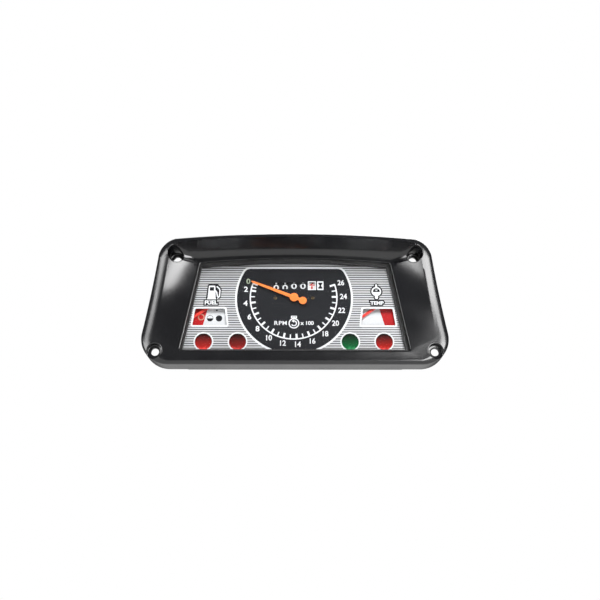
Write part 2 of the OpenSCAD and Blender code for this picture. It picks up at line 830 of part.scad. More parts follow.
module case_openings() {
    for (x = lamp_xs) {
        bar_y(x, -lamp_z, lens_r + screw_gap, case_front - over, case_front + lamp_lens_t);
        bar_y(x, -lamp_z, tube_r - lens_ledge, case_front, wall_front);
        bar_y(x, -lamp_z, holder_bore_r, case_front + lamp_lens_t + ledge_t, wall_front);
    }
    for (s = [-1, 1]) {
        bar_y(s * dial_lamp_x, dial_lamp_z, max(tube_r - lens_ledge, holder_bore_r),
            wall_front - dial_tube_len - over, wall_front);
        for (k = [-1, 1])
            bar_y(s * gauge_x + k * stud_pitch / 2, stud_z, stud_d / 2 + screw_gap,
                wall_front - over, case_back + over);
    }
    for (p = holder_places) {
        notch = holder_r + ear_reach + notch_gap;
        bar_y(p[0], p[1], holder_r + screw_gap, wall_front - over, case_back + over);
        block([p[0] - notch, wall_front - over, p[1] - ear_w / 2 - notch_gap],
            [p[0] + notch, case_back + over, p[1] + ear_w / 2 + notch_gap]);
    }
    bar_y(0, 0, case_opening_r, wall_front - over, case_back + over);
    at_can_lugs()
        bar_y(0, 0, can_screw_r + screw_gap, wall_front - over, case_back + over);
}
module rear_case() {
    color(BLACK) difference() {
        union() {
            difference() {
                case_form();
                plate(case_front - over, wall_front)
                    polygon(window_outline(case_grow - case_wall));
            }
            case_tubes();
        }
        on_dial() case_openings();
        for (p = lug_places)
            bar_y(p[0], p[1], case_screw_d / 2 + screw_gap, -boss_back - over,
                -boss_back + lug_t + over);
        for (s = [-1, 1])
            block([s * drain_x - drain_w / 2, wall_front - drain_len - weld,
                -window_low - case_grow - over],
                [s * drain_x + drain_w / 2, wall_front - weld, -window_low]);
    }
}
module case_screws() {
    head = -boss_back + lug_t;
    color(STEEL) for (p = lug_places) {
        bar_y(p[0], p[1], case_screw_d / 2, head - case_screw_len, head + weld);
        bar_y(p[0], p[1], case_head_r, head, head + case_head_t);
    }
}

// Lamps

module lamp_lens(n) {
    color(LAMP_COLOURS[n]) on_dial()
        bar_y(lamp_xs[n], -lamp_z, lens_r, case_front, case_front + lamp_lens_t);
}
module lamp_holder(n) {
    p = holder_places[n];
    ear = holder_r + ear_reach;
    grip = holder_flange_d / 2 - grip_inset;
    color(BLACK) on_dial() difference() {
        union() {
            bar_y(p[0], p[1], holder_r, holder_front, fixture_y + weld);
            bar_y(p[0], p[1], holder_flange_d / 2, fixture_y, fixture_y + flange_t);
            bar_y(p[0], p[1], holder_r - 0.8, fixture_y, fixture_y + grip_core_len);
            block([p[0] - grip_t / 2, fixture_y + weld, p[1] - grip],
                [p[0] + grip_t / 2, fixture_y + grip_end, p[1] + grip]);
            block([p[0] - ear_w / 2, wall_front - screw_gap - ear_t, p[1] - ear],
                [p[0] + ear_w / 2, wall_front - screw_gap, p[1] + ear]);
        }
        bar_y(p[0], p[1], bulb_seat_r, holder_front - over, holder_front + bulb_seat_len);
    }
}
module lamp_bulbs() {
    color("white", 0.5) on_dial() for (p = holder_places) {
        bar_y(p[0], p[1], bulb_r, holder_front - bulb_front,
            holder_front + bulb_seat_len - screw_gap);
        translate([p[0], holder_front - bulb_front, p[1]]) sphere(r = bulb_r);
    }
}

// Printed circuit, wiring socket, voltage stabiliser

module circuit_foil() {
    color(COPPER) plate(case_back, fixture_y) difference() {
        polygon(window_outline(case_grow - foil_inset));
        for (p = peg_places) translate(p) circle(r = peg_r + screw_gap);
        on_dial() {
            circle(r = can_lug_r + can_clearance);
            for (p = holder_places) translate(p) circle(r = holder_r + foil_gap);
            for (s = [-1, 1])
                for (k = [-1, 1])
                    translate([s * gauge_x + k * stud_pitch / 2, stud_z])
                        circle(r = stud_d / 2 + foil_gap);
        }
    }
}
pin_xs = [for (i = [0:pin_count - 1]) socket_x + (i - (pin_count - 1) / 2) * pin_pitch];
module wiring_socket() {
    x = shell_w / 2;
    z = shell_h / 2;
    color(WHITE) difference() {
        union() {
            block([socket_x - x, fixture_y, socket_z - z],
                [socket_x + x, fixture_y + shell_len, socket_z + z]);
            for (k = [-1, 0, 1])
                block([socket_x + k * shell_w / 3 - shell_rib_t / 2, fixture_y,
                    socket_z - z - shell_rib_h],
                    [socket_x + k * shell_w / 3 + shell_rib_t / 2,
                    fixture_y + shell_len - shell_wall, socket_z + z + shell_rib_h]);
        }
        block([socket_x - x + shell_wall, fixture_y + shell_wall, socket_z - z + shell_wall],
            [socket_x + x - shell_wall, fixture_y + shell_len + over,
            socket_z + z - shell_wall]);
        for (p = pin_xs)
            block([p - pin_w / 2 - pin_gap, fixture_y - over, socket_z - pin_t / 2 - pin_gap],
                [p + pin_w / 2 + pin_gap, fixture_y + shell_wall + over,
                socket_z + pin_t / 2 + pin_gap]);
    }
}
module wiring_pins() {
    color(BRASS) for (p = pin_xs)
        block([p - pin_w / 2, fixture_y, socket_z - pin_t / 2],
            [p + pin_w / 2, fixture_y + shell_len - pin_end_gap, socket_z + pin_t / 2]);
}
module voltage_stabiliser() {
    x = stabiliser_x;
    can_end = fixture_y + stabiliser_len;
    color(STEEL) {
        block([x - stabiliser_w / 2, fixture_y, stabiliser_z - stabiliser_h / 2],
            [x + stabiliser_w / 2, can_end, stabiliser_z + stabiliser_h / 2]);
        block([x - stabiliser_foot_w / 2, fixture_y, stabiliser_z - stabiliser_foot_h / 2],
            [x + stabiliser_foot_w / 2, fixture_y + stabiliser_foot_t,
            stabiliser_z + stabiliser_foot_h / 2]);
        for (s = [-1, 1])
            block([x + s * tab_pitch / 2 - tab_t / 2, can_end - weld, stabiliser_z - tab_w / 2],
                [x + s * tab_pitch / 2 + tab_t / 2, can_end + tab_len,
                stabiliser_z + tab_w / 2]);
    }
}

// Fuel and temperature gauges

module meter_base(s) {
    x = s * gauge_x;
    half = stud_pitch / 2 + pillar_r;
    color(WHITE) on_dial() difference() {
        union() {
            block([x - half, scale_back, -gauge_window_low - base_low],
                [x + half, base_back, stud_z]);
            for (k = [-1, 1])
                bar_y(x + k * stud_pitch / 2, stud_z, pillar_r, scale_back, wall_front);
            bar_y(x, -gauge_pivot_z, pivot_boss_r, scale_back, base_back + pivot_boss_len);
        }
        bar_y(x, -gauge_pivot_z, arbor_r + run_gap, scale_back - over,
            base_back + pivot_boss_len + over);
        for (k = [-1, 1])
            bar_y(x + k * stud_pitch / 2, stud_z, stud_d / 2 + screw_gap,
                wall_front - stud_len - foil_gap, wall_front + over);
    }
}
module scale_plate(s) {
    x = s * gauge_x;
    low_z = -gauge_window_low - scale_low;
    high_z = -gauge_pivot_z + scale_high;
    low_half = gauge_window_low_half + scale_side;
    high_half = gauge_window_top_half + scale_side;
    color(WHITE) on_dial() plate(scale_front, scale_back) difference() {
        polygon([[x - low_half, low_z], [x + low_half, low_z], [x + high_half, high_z],
            [x - high_half, high_z]]);
        translate([x, -gauge_pivot_z]) circle(r = arbor_r + weld);
    }
}
module gauge_bimetal(s) {
    x = s * gauge_x + bimetal_x;
    arm_front = base_back + 1;
    color(BRASS) on_dial() {
        block([x, base_back, bimetal_z], [x + bimetal_foot, base_back + 6, bimetal_z + 3]);
        block([x - bimetal_t, arm_front, bimetal_z - 5],
            [x, arm_front + 4.5, bimetal_z - 5 + bimetal_len]);
    }
}
module gauge_pointer(s) {
    x = s * gauge_x;
    back = gauge_pointer_front + gauge_pointer_t;
    end = gauge_pointer_len;
    color(ORANGE) on_dial() {
        bar_y(x, -gauge_pivot_z, arbor_r, gauge_pointer_front - 0.4, base_back + arbor_end);
        translate([x, 0, -gauge_pivot_z]) rotate([0, -gauge_rest, 0])
            plate(gauge_pointer_front, back) polygon([[-gauge_tail, -1.2],
                [-gauge_tail, 1.2], [0, 1.7], [end, 1.2], [end, -1.2], [0, -1.7]]);
        bar_y(x, -gauge_pivot_z, gauge_hub_r, gauge_pointer_front, back);
    }
}
module gauge_terminals(s) {
    color(BRASS) on_dial() for (k = [-1, 1]) {
        x = s * gauge_x + k * stud_pitch / 2;
        bar_y(x, stud_z, stud_d / 2, wall_front - stud_len, fixture_y + stud_end);
        bar_y(x, stud_z, washer_r, fixture_y, fixture_y + washer_t);
        translate([x, fixture_y + washer_t, stud_z]) rotate([-90, 0, 0])
            cylinder(h = nut_t, r = nut_r, $fn = 6);
    }
}

// Gear case and drive

module mechanism_can() {
    color(STEEL) on_dial() difference() {
        union() {
            bar_y(0, 0, can_r, case_back, can_back);
            bar_y(0, 0, can_r + can_rim, case_back, case_back + can_lug_t);
            at_can_lugs() bar_y(0, 0, can_lug_plan_r, case_back, case_back + can_lug_t);
        }
        bar_y(0, 0, can_r - can_wall, case_back - over, can_back - can_floor);
        bar_y(0, 0, drive_r + drive_gap, can_back - can_floor - over, can_back + over);
        at_can_lugs()
            bar_y(0, 0, can_screw_r + screw_gap, case_back - over, case_back + can_lug_t + over);
    }
}
module can_screws() {
    head = case_back + can_lug_t;
    color(STEEL) on_dial() at_can_lugs() {
        bar_y(0, 0, can_screw_r, frame_back - can_screw_inside, head + weld);
        bar_y(0, 0, can_head_r, head, head + can_head_t);
    }
}
module drive_socket() {
    color(BRASS) on_dial() difference() {
        union() {
            bar_y(0, 0, socket_flange_r, can_back, thread_front);
            bar_y(0, 0, socket_r, can_back, socket_back);
        }
        bar_y(0, 0, drive_r + run_gap, can_back - over, socket_back);
        bar_y(0, 0, ferrule_d / 2, socket_back - ferrule_len, socket_back + over);
    }
}
// One side cheek of the frame, on the side s
module frame_cheek(s) {
    x = s > 0 ? cheek_x : -cheek_x - cheek_t;
    block([x, bridge_front - weld, -cheek_low],
        [x + cheek_t, frame_back - weld, cheek_h - cheek_low]);
    block([x, wheel_y - 5, wheel_z - 5],
        [x + cheek_t, bridge_front + 1, wheel_z - 5 + cheek_front_h]);
}
module mechanism_frame() {
    color(STEEL) on_dial() difference() {
        union() {
            plate(frame_front, frame_back) {
                translate([0, -frame_drop])
                    square([2 * (cheek_x + cheek_t), frame_h], center = true);
                for (a = can_lug_angles) {
                    translate(can_lug_r * heading(a)) circle(r = frame_ear_r);
                    rotate(a) translate([0, -frame_arm_w / 2]) square([can_lug_r, frame_arm_w]);
                }
            }
            at_can_lugs() bar_y(0, 0, frame_leg_r, frame_back - weld, wall_front);
            frame_cheek(-1);
            frame_cheek(1);
            for (x = bracket_xs)
                block([x, frame_back - weld, lay_1_z - bracket_h / 2],
                    [x + bracket_t, train_y + bracket_past - weld, lay_1_z + bracket_h / 2]);
        }
        bar_y(0, 0, drive_r + run_gap, frame_front - over, frame_back + over);
        bar_y(lay_2_x, lay_2_z, lay_r + run_gap, frame_front - over, frame_back + over);
        bar_x(train_y, lay_1_z, lay_r + run_gap, -cheek_x, cheek_x + cheek_t);
        bar_x(wheel_y, wheel_z, counter_r + press_gap, -cheek_x - 3, cheek_x + 3);
        bar_x(pinion_y, pinion_z, pinion_shaft_r + press_gap, -cheek_x - 3, cheek_x + 3);
        at_can_lugs()
            bar_y(0, 0, can_screw_r + screw_gap, frame_back - 2, wall_front + over);
    }
}
module bearing_bridge() {
    color(STEEL) on_dial() difference() {
        union() {
            block([-cheek_x, bridge_front, -bridge_low], [cheek_x, bridge_back, bridge_high]);
            bar_y(0, 0, bridge_boss_r, bridge_front - bridge_boss_len, bridge_front + weld);
            for (s = [-1, 1])
                bar_y(s * pillar_x, 0, bridge_pillar_r, dial_back, bridge_front + weld);
        }
        bar_y(0, 0, spindle_r + run_gap, bridge_front - bridge_boss_len - over,
            bridge_back + over);
        bar_y(lay_2_x, lay_2_z, lay_r + run_gap, bridge_front - over, bridge_back + over);
        for (s = [-1, 1])
            bar_y(s * pillar_x, 0, dial_screw_r + screw_gap, dial_back - over,
                dial_back + dial_screw_len + weld);
    }
}
module drive_spindle() {
    half = square_w / 2;
    color(STEEL) on_dial() difference() {
        union() {
            bar_y(0, 0, magnet_core_r, magnet_front, magnet_back + weld);
            bar_y(0, 0, drive_r, magnet_back, frame_back + 2);
            bar_y(0, 0, worm_1_r, frame_back + 1, can_back - 3);
            bar_y(0, 0, drive_r, can_back - 4, drive_end);
        }
        block([-half, drive_end - square_len, -half], [half, drive_end + over, half]);
    }
}
module magnet() {
    color(DARK_ALLOY) on_dial() difference() {
        bar_y(0, 0, magnet_d / 2, magnet_front, magnet_back);
        bar_y(0, 0, magnet_core_r + magnet_fit, magnet_front - over, magnet_back + over);
    }
}
module flux_ring() {
    color(STEEL) on_dial() difference() {
        bar_y(0, 0, flux_r, cup_front + 1, frame_front);
        bar_y(0, 0, flux_r - flux_t, cup_front, frame_front - 1);
        bar_y(0, 0, drive_r + drive_gap, cup_front, frame_front + over);
    }
}
module drag_cup() {
    color(STEEL) on_dial() difference() {
        bar_y(0, 0, cup_d / 2, cup_front, cup_back);
        bar_y(0, 0, cup_d / 2 - cup_t, cup_front + cup_t, cup_back + over);
        bar_y(0, 0, spindle_r + press_gap, cup_front - over, cup_front + cup_t + over);
    }
}
module pointer_spindle() {
    color(STEEL) on_dial() {
        bar_y(0, 0, spindle_r, hub_front + weld, cup_front + cup_t);
        bar_y(0, 0, collet_r, spring_y - 0.2, spring_y + spring_w);
    }
}
function spiral(t, d) =
    (mix(spring_in, spring_out, t) + d) * heading(360 * spring_turns * t);
module hairspring() {
    count = spring_turns * spring_steps;
    post = spring_out - 0.1;
    color(BRASS) on_dial() {
        plate(spring_y, spring_y + spring_w) polygon(concat(
            [for (i = [0:count]) spiral(i / count, spring_half_t)],
            [for (i = [count:-1:0]) spiral(i / count, -spring_half_t)]));
        block([post, bridge_back, -spring_post / 2],
            [post + spring_post, spring_y + spring_w, spring_post / 2]);
    }
}

// Gear train and hour meter

module layshaft_1() {
    color(BRASS) on_dial() {
        bar_x(train_y, lay_1_z, lay_r, lay_1_ends[0], lay_1_ends[1]);
        translate([-first_wheel_w / 2, train_y, lay_1_z]) rotate([0, 90, 0])
            linear_extrude(first_wheel_w)
                gear_outline(first_teeth, first_wheel_r, first_wheel_r - tooth_h);
        bar_x(train_y, lay_1_z, worm_2_r, lay_2_x - worm_2_half, lay_2_x + worm_2_half);
    }
}
module layshaft_2() {
    color(BRASS) on_dial() {
        bar_y(lay_2_x, lay_2_z, lay_r, wheel_y - lay_2_front, train_y + lay_2_end);
        translate([lay_2_x, train_y + second_wheel_w / 2, lay_2_z]) rotate([90, 0, 0])
            linear_extrude(second_wheel_w)
                gear_outline(second_teeth, second_wheel_r, second_wheel_r - tooth_h);
        bar_y(lay_2_x, lay_2_z, worm_3_r - mesh_gap, wheel_y - worm_3_half,
            wheel_y + worm_3_half);
    }
}
module counter_shaft() {
    end = cheek_x + cheek_t;
    color(STEEL) on_dial() bar_x(wheel_y, wheel_z, counter_r, -end, end);
}
module pinion_shaft() {
    end = cheek_x + cheek_t;
    color(STEEL) on_dial() bar_x(pinion_y, pinion_z, pinion_shaft_r, -end, end);
}
// A round disc of a number wheel, in the wheel's own frame with its axis up
module disc(r, start, end) {
    translate([0, 0, start]) cylinder(h = end - start, r = r);
}
module number_wheel(n) {
    x = wheel_xs[n];
    last = n == len(wheel_xs) - 1;
    hub_left = -ring_left - carry_disc_t;
    hub_right = hub_left + wheel_pitch - wheel_side_gap;
    gear_left = lay_2_x - x - tenths_wheel_w / 2;
    color(last ? WHITE : BLACK) on_dial() translate([x, wheel_y, wheel_z]) rotate([0, 90, 0])
        difference() {
            union() {
                disc(wheel_d / 2, -ring_left, ring_left);
                disc(hub_r, hub_left, hub_right);
                if (n > 0) for (k = [-1, 1]) rotate(180 + k * carry_finger)
                    block([ring_root_r - finger_len, -finger_w / 2, hub_left],
                        [ring_root_r, finger_w / 2, rim_weld - ring_left]);
                if (!last) translate([0, 0, ring_left - rim_weld])
                    rotate(90 + pinion_angle + 180 / ring_teeth)
                    linear_extrude(ring_right - ring_left + rim_weld)
                        gear_outline(ring_teeth, ring_tip_r, ring_root_r);
                if (last) {
                    disc(last_disc_r, ring_left - rim_weld, ring_left - rim_weld + last_disc_t);
                    translate([0, 0, gear_left]) linear_extrude(tenths_wheel_w)
                        gear_outline(tenths_teeth, tenths_gear_r, tenths_gear_r - tenths_tooth_h);
                }
            }
            disc(counter_r + run_gap, hub_left - over, hub_left + 2 * wheel_pitch);
        }
}
module carry_pinion(n) {
    x = wheel_xs[n] + ring_left + pinion_start;
    color(BRASS) on_dial() translate([x, pinion_y, pinion_z])
        rotate([0, 90, 0]) difference() {
            rotate(270 + pinion_angle) linear_extrude(pinion_w)
                gear_outline(pinion_teeth, pinion_tip_r, pinion_root_r);
            disc(pinion_shaft_r + run_gap, -over, pinion_w + over);
        }
}

bezel();
window_lens();
lens_seal();
dial_spacer();
dial_plate();
dial_screws();
rear_case();
case_screws();
lamp_lens(0);  // lamp_lens_1
lamp_lens(1);  // lamp_lens_2
lamp_lens(2);  // lamp_lens_3
lamp_lens(3);  // lamp_lens_4
lamp_holder(0);  // lamp_holder_1
lamp_holder(1);  // lamp_holder_2
lamp_holder(2);  // lamp_holder_3
lamp_holder(3);  // lamp_holder_4
lamp_holder(4);  // lamp_holder_5
lamp_holder(5);  // lamp_holder_6
lamp_bulbs();
circuit_foil();
wiring_socket();
wiring_pins();
voltage_stabiliser();
meter_base(-1);  // fuel_meter_base
scale_plate(-1);  // fuel_scale_plate
gauge_bimetal(-1);  // fuel_bimetal
gauge_pointer(-1);  // fuel_pointer
gauge_terminals(-1);  // fuel_terminals
meter_base(1);  // temp_meter_base
scale_plate(1);  // temp_scale_plate
gauge_bimetal(1);  // temp_bimetal
gauge_pointer(1);  // temp_pointer
gauge_terminals(1);  // temp_terminals
mechanism_can();
can_screws();
drive_socket();
mechanism_frame();
bearing_bridge();
drive_spindle();
magnet();
flux_ring();
drag_cup();
pointer_spindle();
hairspring();
tach_pointer();
layshaft_1();
layshaft_2();
counter_shaft();
number_wheel(0);  // hour_wheel_1
number_wheel(1);  // hour_wheel_2
number_wheel(2);  // hour_wheel_3
number_wheel(3);  // hour_wheel_4
number_wheel(4);  // hour_wheel_5
pinion_shaft();
carry_pinion(0);  // carry_pinion_1
carry_pinion(1);  // carry_pinion_2
carry_pinion(2);  // carry_pinion_3
carry_pinion(3);  // carry_pinion_4
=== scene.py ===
import json
import math

import bmesh
import bpy
from bpy.props import FloatProperty, FloatVectorProperty, IntProperty, PointerProperty
from mathutils import Matrix, Vector
from mathutils.bvhtree import BVHTree


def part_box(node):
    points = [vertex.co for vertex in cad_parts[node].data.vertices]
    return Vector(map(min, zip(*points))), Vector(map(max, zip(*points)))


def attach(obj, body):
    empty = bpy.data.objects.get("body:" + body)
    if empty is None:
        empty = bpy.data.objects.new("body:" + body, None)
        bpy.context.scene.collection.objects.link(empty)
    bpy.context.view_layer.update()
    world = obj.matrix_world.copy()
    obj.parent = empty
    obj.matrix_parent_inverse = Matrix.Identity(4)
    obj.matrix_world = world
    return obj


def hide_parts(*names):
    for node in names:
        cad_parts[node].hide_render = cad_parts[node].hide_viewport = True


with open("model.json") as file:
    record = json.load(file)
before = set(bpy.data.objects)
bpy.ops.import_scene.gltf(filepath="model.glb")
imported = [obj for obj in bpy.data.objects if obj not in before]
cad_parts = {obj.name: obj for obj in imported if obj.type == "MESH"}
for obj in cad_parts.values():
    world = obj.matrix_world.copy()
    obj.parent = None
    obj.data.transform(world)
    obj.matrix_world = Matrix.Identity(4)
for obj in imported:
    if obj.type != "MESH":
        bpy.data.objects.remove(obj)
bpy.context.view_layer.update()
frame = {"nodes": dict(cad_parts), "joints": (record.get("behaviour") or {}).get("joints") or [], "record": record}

bl_info = {
    "name": "Tractor instrument panel",
    "version": (1, 0, 0),
    "blender": (4, 5, 0),
    "location": "3D View > Sidebar > Instrument",
    "description": "Finishes a packed instrument panel with moulded, printed and metal surfaces",
    "category": "Object",
}

MM = 0.001
JOINTS = {joint["name"]: joint for joint in frame["joints"]}
NODES = frame["nodes"]


# Places read from the frame, in millimetres

def low(node):
    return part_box(node)[0] / MM


def high(node):
    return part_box(node)[1] / MM


def middle(node):
    return (low(node) + high(node)) / 2


def joint_place(name):
    return Vector(JOINTS[name]["pos_m"]) / MM


SPINDLE = joint_place("tach_needle_turn")
DIAL_X = SPINDLE.x
DIAL_FRONT, DIAL_BACK = low("dial_plate").y, high("dial_plate").y
LIP_FRONT = low("window_lens").y
FOIL_BACK = high("circuit_foil").y
WHEELS = [joint_place(f"number_wheel_{n}_spin") for n in range(1, 6)]
LAMP_NODES = [f"lamp_lens_{n}" for n in range(1, 5)]
HOLDER_NODES = [f"lamp_holder_{n}" for n in range(1, 7)]
GAUGES = {side: joint_place(f"{side}_needle_turn") for side in ("fuel", "temp")}

# A visible piece stays this far inside the faces of the node that it stands for
SKIN = 0.02


# Sizes and colours that a user would change

class BezelSizes(bpy.types.PropertyGroup):
    """Outline and section of the moulded bezel"""
    width: FloatProperty(name="Width", description="Greatest width, in millimetres", default=290)
    low_edge: FloatProperty(name="Lower edge", description="Below the spindle, in millimetres",
                            default=67.2)
    high_edge: FloatProperty(name="Upper corners", description="Above the spindle, in millimetres",
                             default=50.2)
    arch: FloatProperty(name="Arch", description="Rise of the top edge, in millimetres", default=5.7)
    lean: FloatProperty(name="Lean", description="Lean of the sides, in degrees", default=10.9)
    upper_corner: FloatProperty(name="Upper corner", description="Radius, in millimetres", default=17)
    lower_corner: FloatProperty(name="Lower corner", description="Radius, in millimetres", default=26)
    rim_low: FloatProperty(name="Low rim", description="Depth at the lower edge, in millimetres",
                           default=22.5)
    rim_high: FloatProperty(name="Hood", description="Depth at the top edge, in millimetres",
                            default=45.5)
    hood_rise: FloatProperty(name="Hood rise", description="How late the rim grows to the hood",
                             default=2.3)
    side_round: FloatProperty(name="Side rounding", description="In millimetres", default=11)
    side_drop: FloatProperty(name="Side fall", description="Of the rounding, in millimetres",
                             default=4.5)
    hood_round: FloatProperty(name="Hood rounding", description="In millimetres", default=4.5)
    low_round: FloatProperty(name="Lower rounding", description="In millimetres", default=4)
    wall: FloatProperty(name="Wall", description="In millimetres", default=2.8)
    side_fall: FloatProperty(name="Side roll", description="How late a side falls to the window",
                             default=1.5)
    hood_fall: FloatProperty(name="Hood roll", description="How early the hood falls", default=2.6)
    hood_spread: FloatProperty(name="Hood spread", description="How far it turns into the sides",
                               default=0.35)
    window_low_half: FloatProperty(name="Window foot", description="Half width, in millimetres",
                                   default=108.3)
    window_high_half: FloatProperty(name="Window head", description="Half width, in millimetres",
                                    default=91.9)
    window_low: FloatProperty(name="Window low", description="Below the spindle, in millimetres",
                              default=54.8)
    window_high: FloatProperty(name="Window high", description="Above the spindle, in millimetres",
                               default=32.7)
    window_arch: FloatProperty(name="Window arch", description="In millimetres", default=4.8)
    window_corner: FloatProperty(name="Window corner", description="In millimetres", default=2)
    lip_t: FloatProperty(name="Lip", description="Thickness at the lens, in millimetres", default=2)
    hole_d: FloatProperty(name="Hole", description="Fixing hole, in millimetres", default=7.5)
    cup_d: FloatProperty(name="Counterbore", description="In millimetres", default=13.4)
    cup_round: FloatProperty(name="Counterbore rounding", description="In millimetres", default=1.0)
    floor_front: FloatProperty(name="Floor front", description="In millimetres", default=17)
    floor_back: FloatProperty(name="Floor back", description="In millimetres", default=14)


class PrintSizes(bpy.types.PropertyGroup):
    """The printing on the dial"""
    stripe_pitch: FloatProperty(name="Stripe pitch", description="In millimetres", default=2.3)
    numeral_r: FloatProperty(name="Numeral circle", description="In millimetres", default=46.9)
    tick_r: FloatProperty(name="Tick circle", description="In millimetres", default=42.4)
    numeral_h: FloatProperty(name="Numeral height", description="In millimetres", default=5.4)
    tick_line: FloatProperty(name="Tick line", description="Width, in millimetres", default=1.25)
    first_angle: FloatProperty(name="First numeral", description="In degrees", default=160.4)
    even_from: IntProperty(name="Even from", description="Value where even steps begin", default=2)
    even_angle: FloatProperty(name="Even angle", description="Of that value, in degrees",
                              default=170.6)
    step_angle: FloatProperty(name="Step", description="Degrees to a hundred turns", default=8.64)
    numeral_aside: FloatProperty(name="Numerals aside", description="In millimetres", default=0.3)
    numeral_lift: FloatProperty(name="Numerals up", description="In millimetres", default=1.1)
    tick_aside: FloatProperty(name="Ticks aside", description="In millimetres", default=-0.4)
    tick_lift: FloatProperty(name="Ticks up", description="In millimetres", default=0.7)
    top_value: IntProperty(name="Last numeral", description="Hundreds of turns a minute", default=26)
    zone_r: FloatProperty(name="Black zone", description="Radius, in millimetres", default=55)
    zone_top: FloatProperty(name="Zone top", description="Above the spindle, in millimetres",
                            default=30)
    outline_w: FloatProperty(name="Outline", description="White outline, in millimetres",
                             default=1.9)


class Finishes(bpy.types.PropertyGroup):
    """Colours of the main finishes"""
    bezel: FloatVectorProperty(name="Bezel", description="Moulded black", subtype="COLOR",
                               size=3, default=(0.0055, 0.0057, 0.0068))
    silver: FloatVectorProperty(name="Dial silver", description="Printed silver", subtype="COLOR",
                                size=3, default=(0.62, 0.63, 0.645))
    needle: FloatVectorProperty(name="Needle", description="Pointer orange", subtype="COLOR",
                                size=3, default=(0.9, 0.235, 0.055))
    red_lamp: FloatVectorProperty(name="Red lamp", description="Lamp lens", subtype="COLOR",
                                  size=3, default=(0.62, 0.016, 0.01))
    green_lamp: FloatVectorProperty(name="Green lamp", description="Lamp lens", subtype="COLOR",
                                    size=3, default=(0.004, 0.19, 0.05))


class StageSizes(bpy.types.PropertyGroup):
    """Camera and floor"""
    distance: FloatProperty(name="Camera distance", description="In millimetres", default=796)
    focal: FloatProperty(name="Focal length", description="For a 36 mm sensor", default=48.7)
    tilt: FloatProperty(name="Tilt", description="Camera below the dial's normal, in degrees",
                        default=18.5)
    turn: FloatProperty(name="Turn", description="Camera to the side, in degrees", default=0.26)
    aside: FloatProperty(name="Aim aside", description="In millimetres", default=4.73)
    above: FloatProperty(name="Aim above", description="In millimetres", default=2.49)
    floor: FloatProperty(name="Floor", description="Below the spindle, in millimetres", default=420)


GROUPS = {"bezel_sizes": BezelSizes, "print_sizes": PrintSizes, "finishes": Finishes,
          "stage_sizes": StageSizes}


def settings(name):
    return getattr(bpy.context.scene, name)


# Materials

def add_node(tree, kind, inputs=None, **attributes):
    """A new node with some of its attributes and inputs set"""
    node = tree.nodes.new(kind)
    for key, value in attributes.items():
        setattr(node, key, value)
    return fill(node, inputs or {})


def fill(node, inputs):
    """Sets a node's inputs, by name or number"""
    for key, value in inputs.items():
        node.inputs[key].default_value = value
    return node


def link(tree, a, b, into, out=0):
    tree.links.new(a.outputs[out], b.inputs[into])


def shade(colour, factor):
    return tuple(min(1, channel * factor) for channel in colour)


class Surface:
    """A Principled material with textures in object coordinates"""

    def __init__(self, name, colour, roughness, metallic=0.0, alpha=1.0):
        self.mat = bpy.data.materials.new(name)
        self.mat.use_nodes = True
        self.tree = self.mat.node_tree
        self.shader = self.tree.nodes["Principled BSDF"]
        fill(self.shader, {"Base Color": (*colour, 1), "Roughness": roughness,
                           "Metallic": metallic, "Alpha": alpha})

    def through(self, source, kind, into, inputs=None, out=0, **attributes):
        """A new node fed by another one"""
        node = add_node(self.tree, kind, inputs, **attributes)
        link(self.tree, source, node, into, out)
        return node

    def place(self, kind, inputs=None):
        """A node fed by object coordinates"""
        coords = add_node(self.tree, "ShaderNodeTexCoord")
        return self.through(coords, kind, "Vector", inputs, "Object")

    def noise(self, scale, detail=3, stretch=(1, 1, 1)):
        """Noise whose scale is in features to the metre"""
        mapping = self.place("ShaderNodeMapping", {"Scale": stretch})
        return self.through(mapping, "ShaderNodeTexNoise", "Vector",
                            {"Scale": scale, "Detail": detail})

    def gloss(self, source, smoothest, roughest):
        """Lets a noise's middle range set the roughness"""
        ramp = self.through(source, "ShaderNodeMapRange", "Value",
                            {"From Min": 0.35, "From Max": 0.65,
                             "To Min": smoothest, "To Max": roughest})
        link(self.tree, ramp, self.shader, "Roughness")

    def tones(self, source, stops):
        """Colours along a source's value, from (place, colour) pairs"""
        node = self.through(source, "ShaderNodeValToRGB", "Fac")
        ramp = node.color_ramp.elements
        for n, (place, colour) in enumerate(stops):
            stop = ramp[n] if n < 2 else ramp.new(place)
            stop.position = place
            stop.color = (*colour, 1)
        link(self.tree, node, self.shader, "Base Color")
        return node

    def two_tones(self, source, dark, light):
        self.tones(source, [(0.35, dark), (0.65, light)])

    def bump(self, source, strength, distance):
        node = self.through(source, "ShaderNodeBump", "Height",
                            {"Strength": strength, "Distance": distance})
        link(self.tree, node, self.shader, "Normal")


def moulded(name, colour, roughness, grain=1600, depth=0.00002, wear=0.08):
    """Injection-moulded plastic: fine grain, uneven gloss and slightly faded patches"""
    surface = Surface(name, colour, roughness)
    surface.bump(surface.noise(grain, 2), 0.35, depth)
    surface.gloss(surface.noise(38, 4), roughness - wear, roughness + wear)
    surface.two_tones(surface.noise(14), shade(colour, 0.85), shade(colour, 1.25))
    return surface.mat


def brushed(name, colour, roughness, stretch=(1, 1, 12), scale=300):
    """Metal with fine drawn lines and a little tarnish"""
    surface = Surface(name, colour, roughness, metallic=1)
    lines = surface.noise(scale, 4, stretch)
    surface.bump(lines, 0.15, 0.00002)
    surface.gloss(lines, roughness - 0.07, roughness + 0.1)
    surface.two_tones(surface.noise(60, 4), shade(colour, 0.78), colour)
    return surface.mat


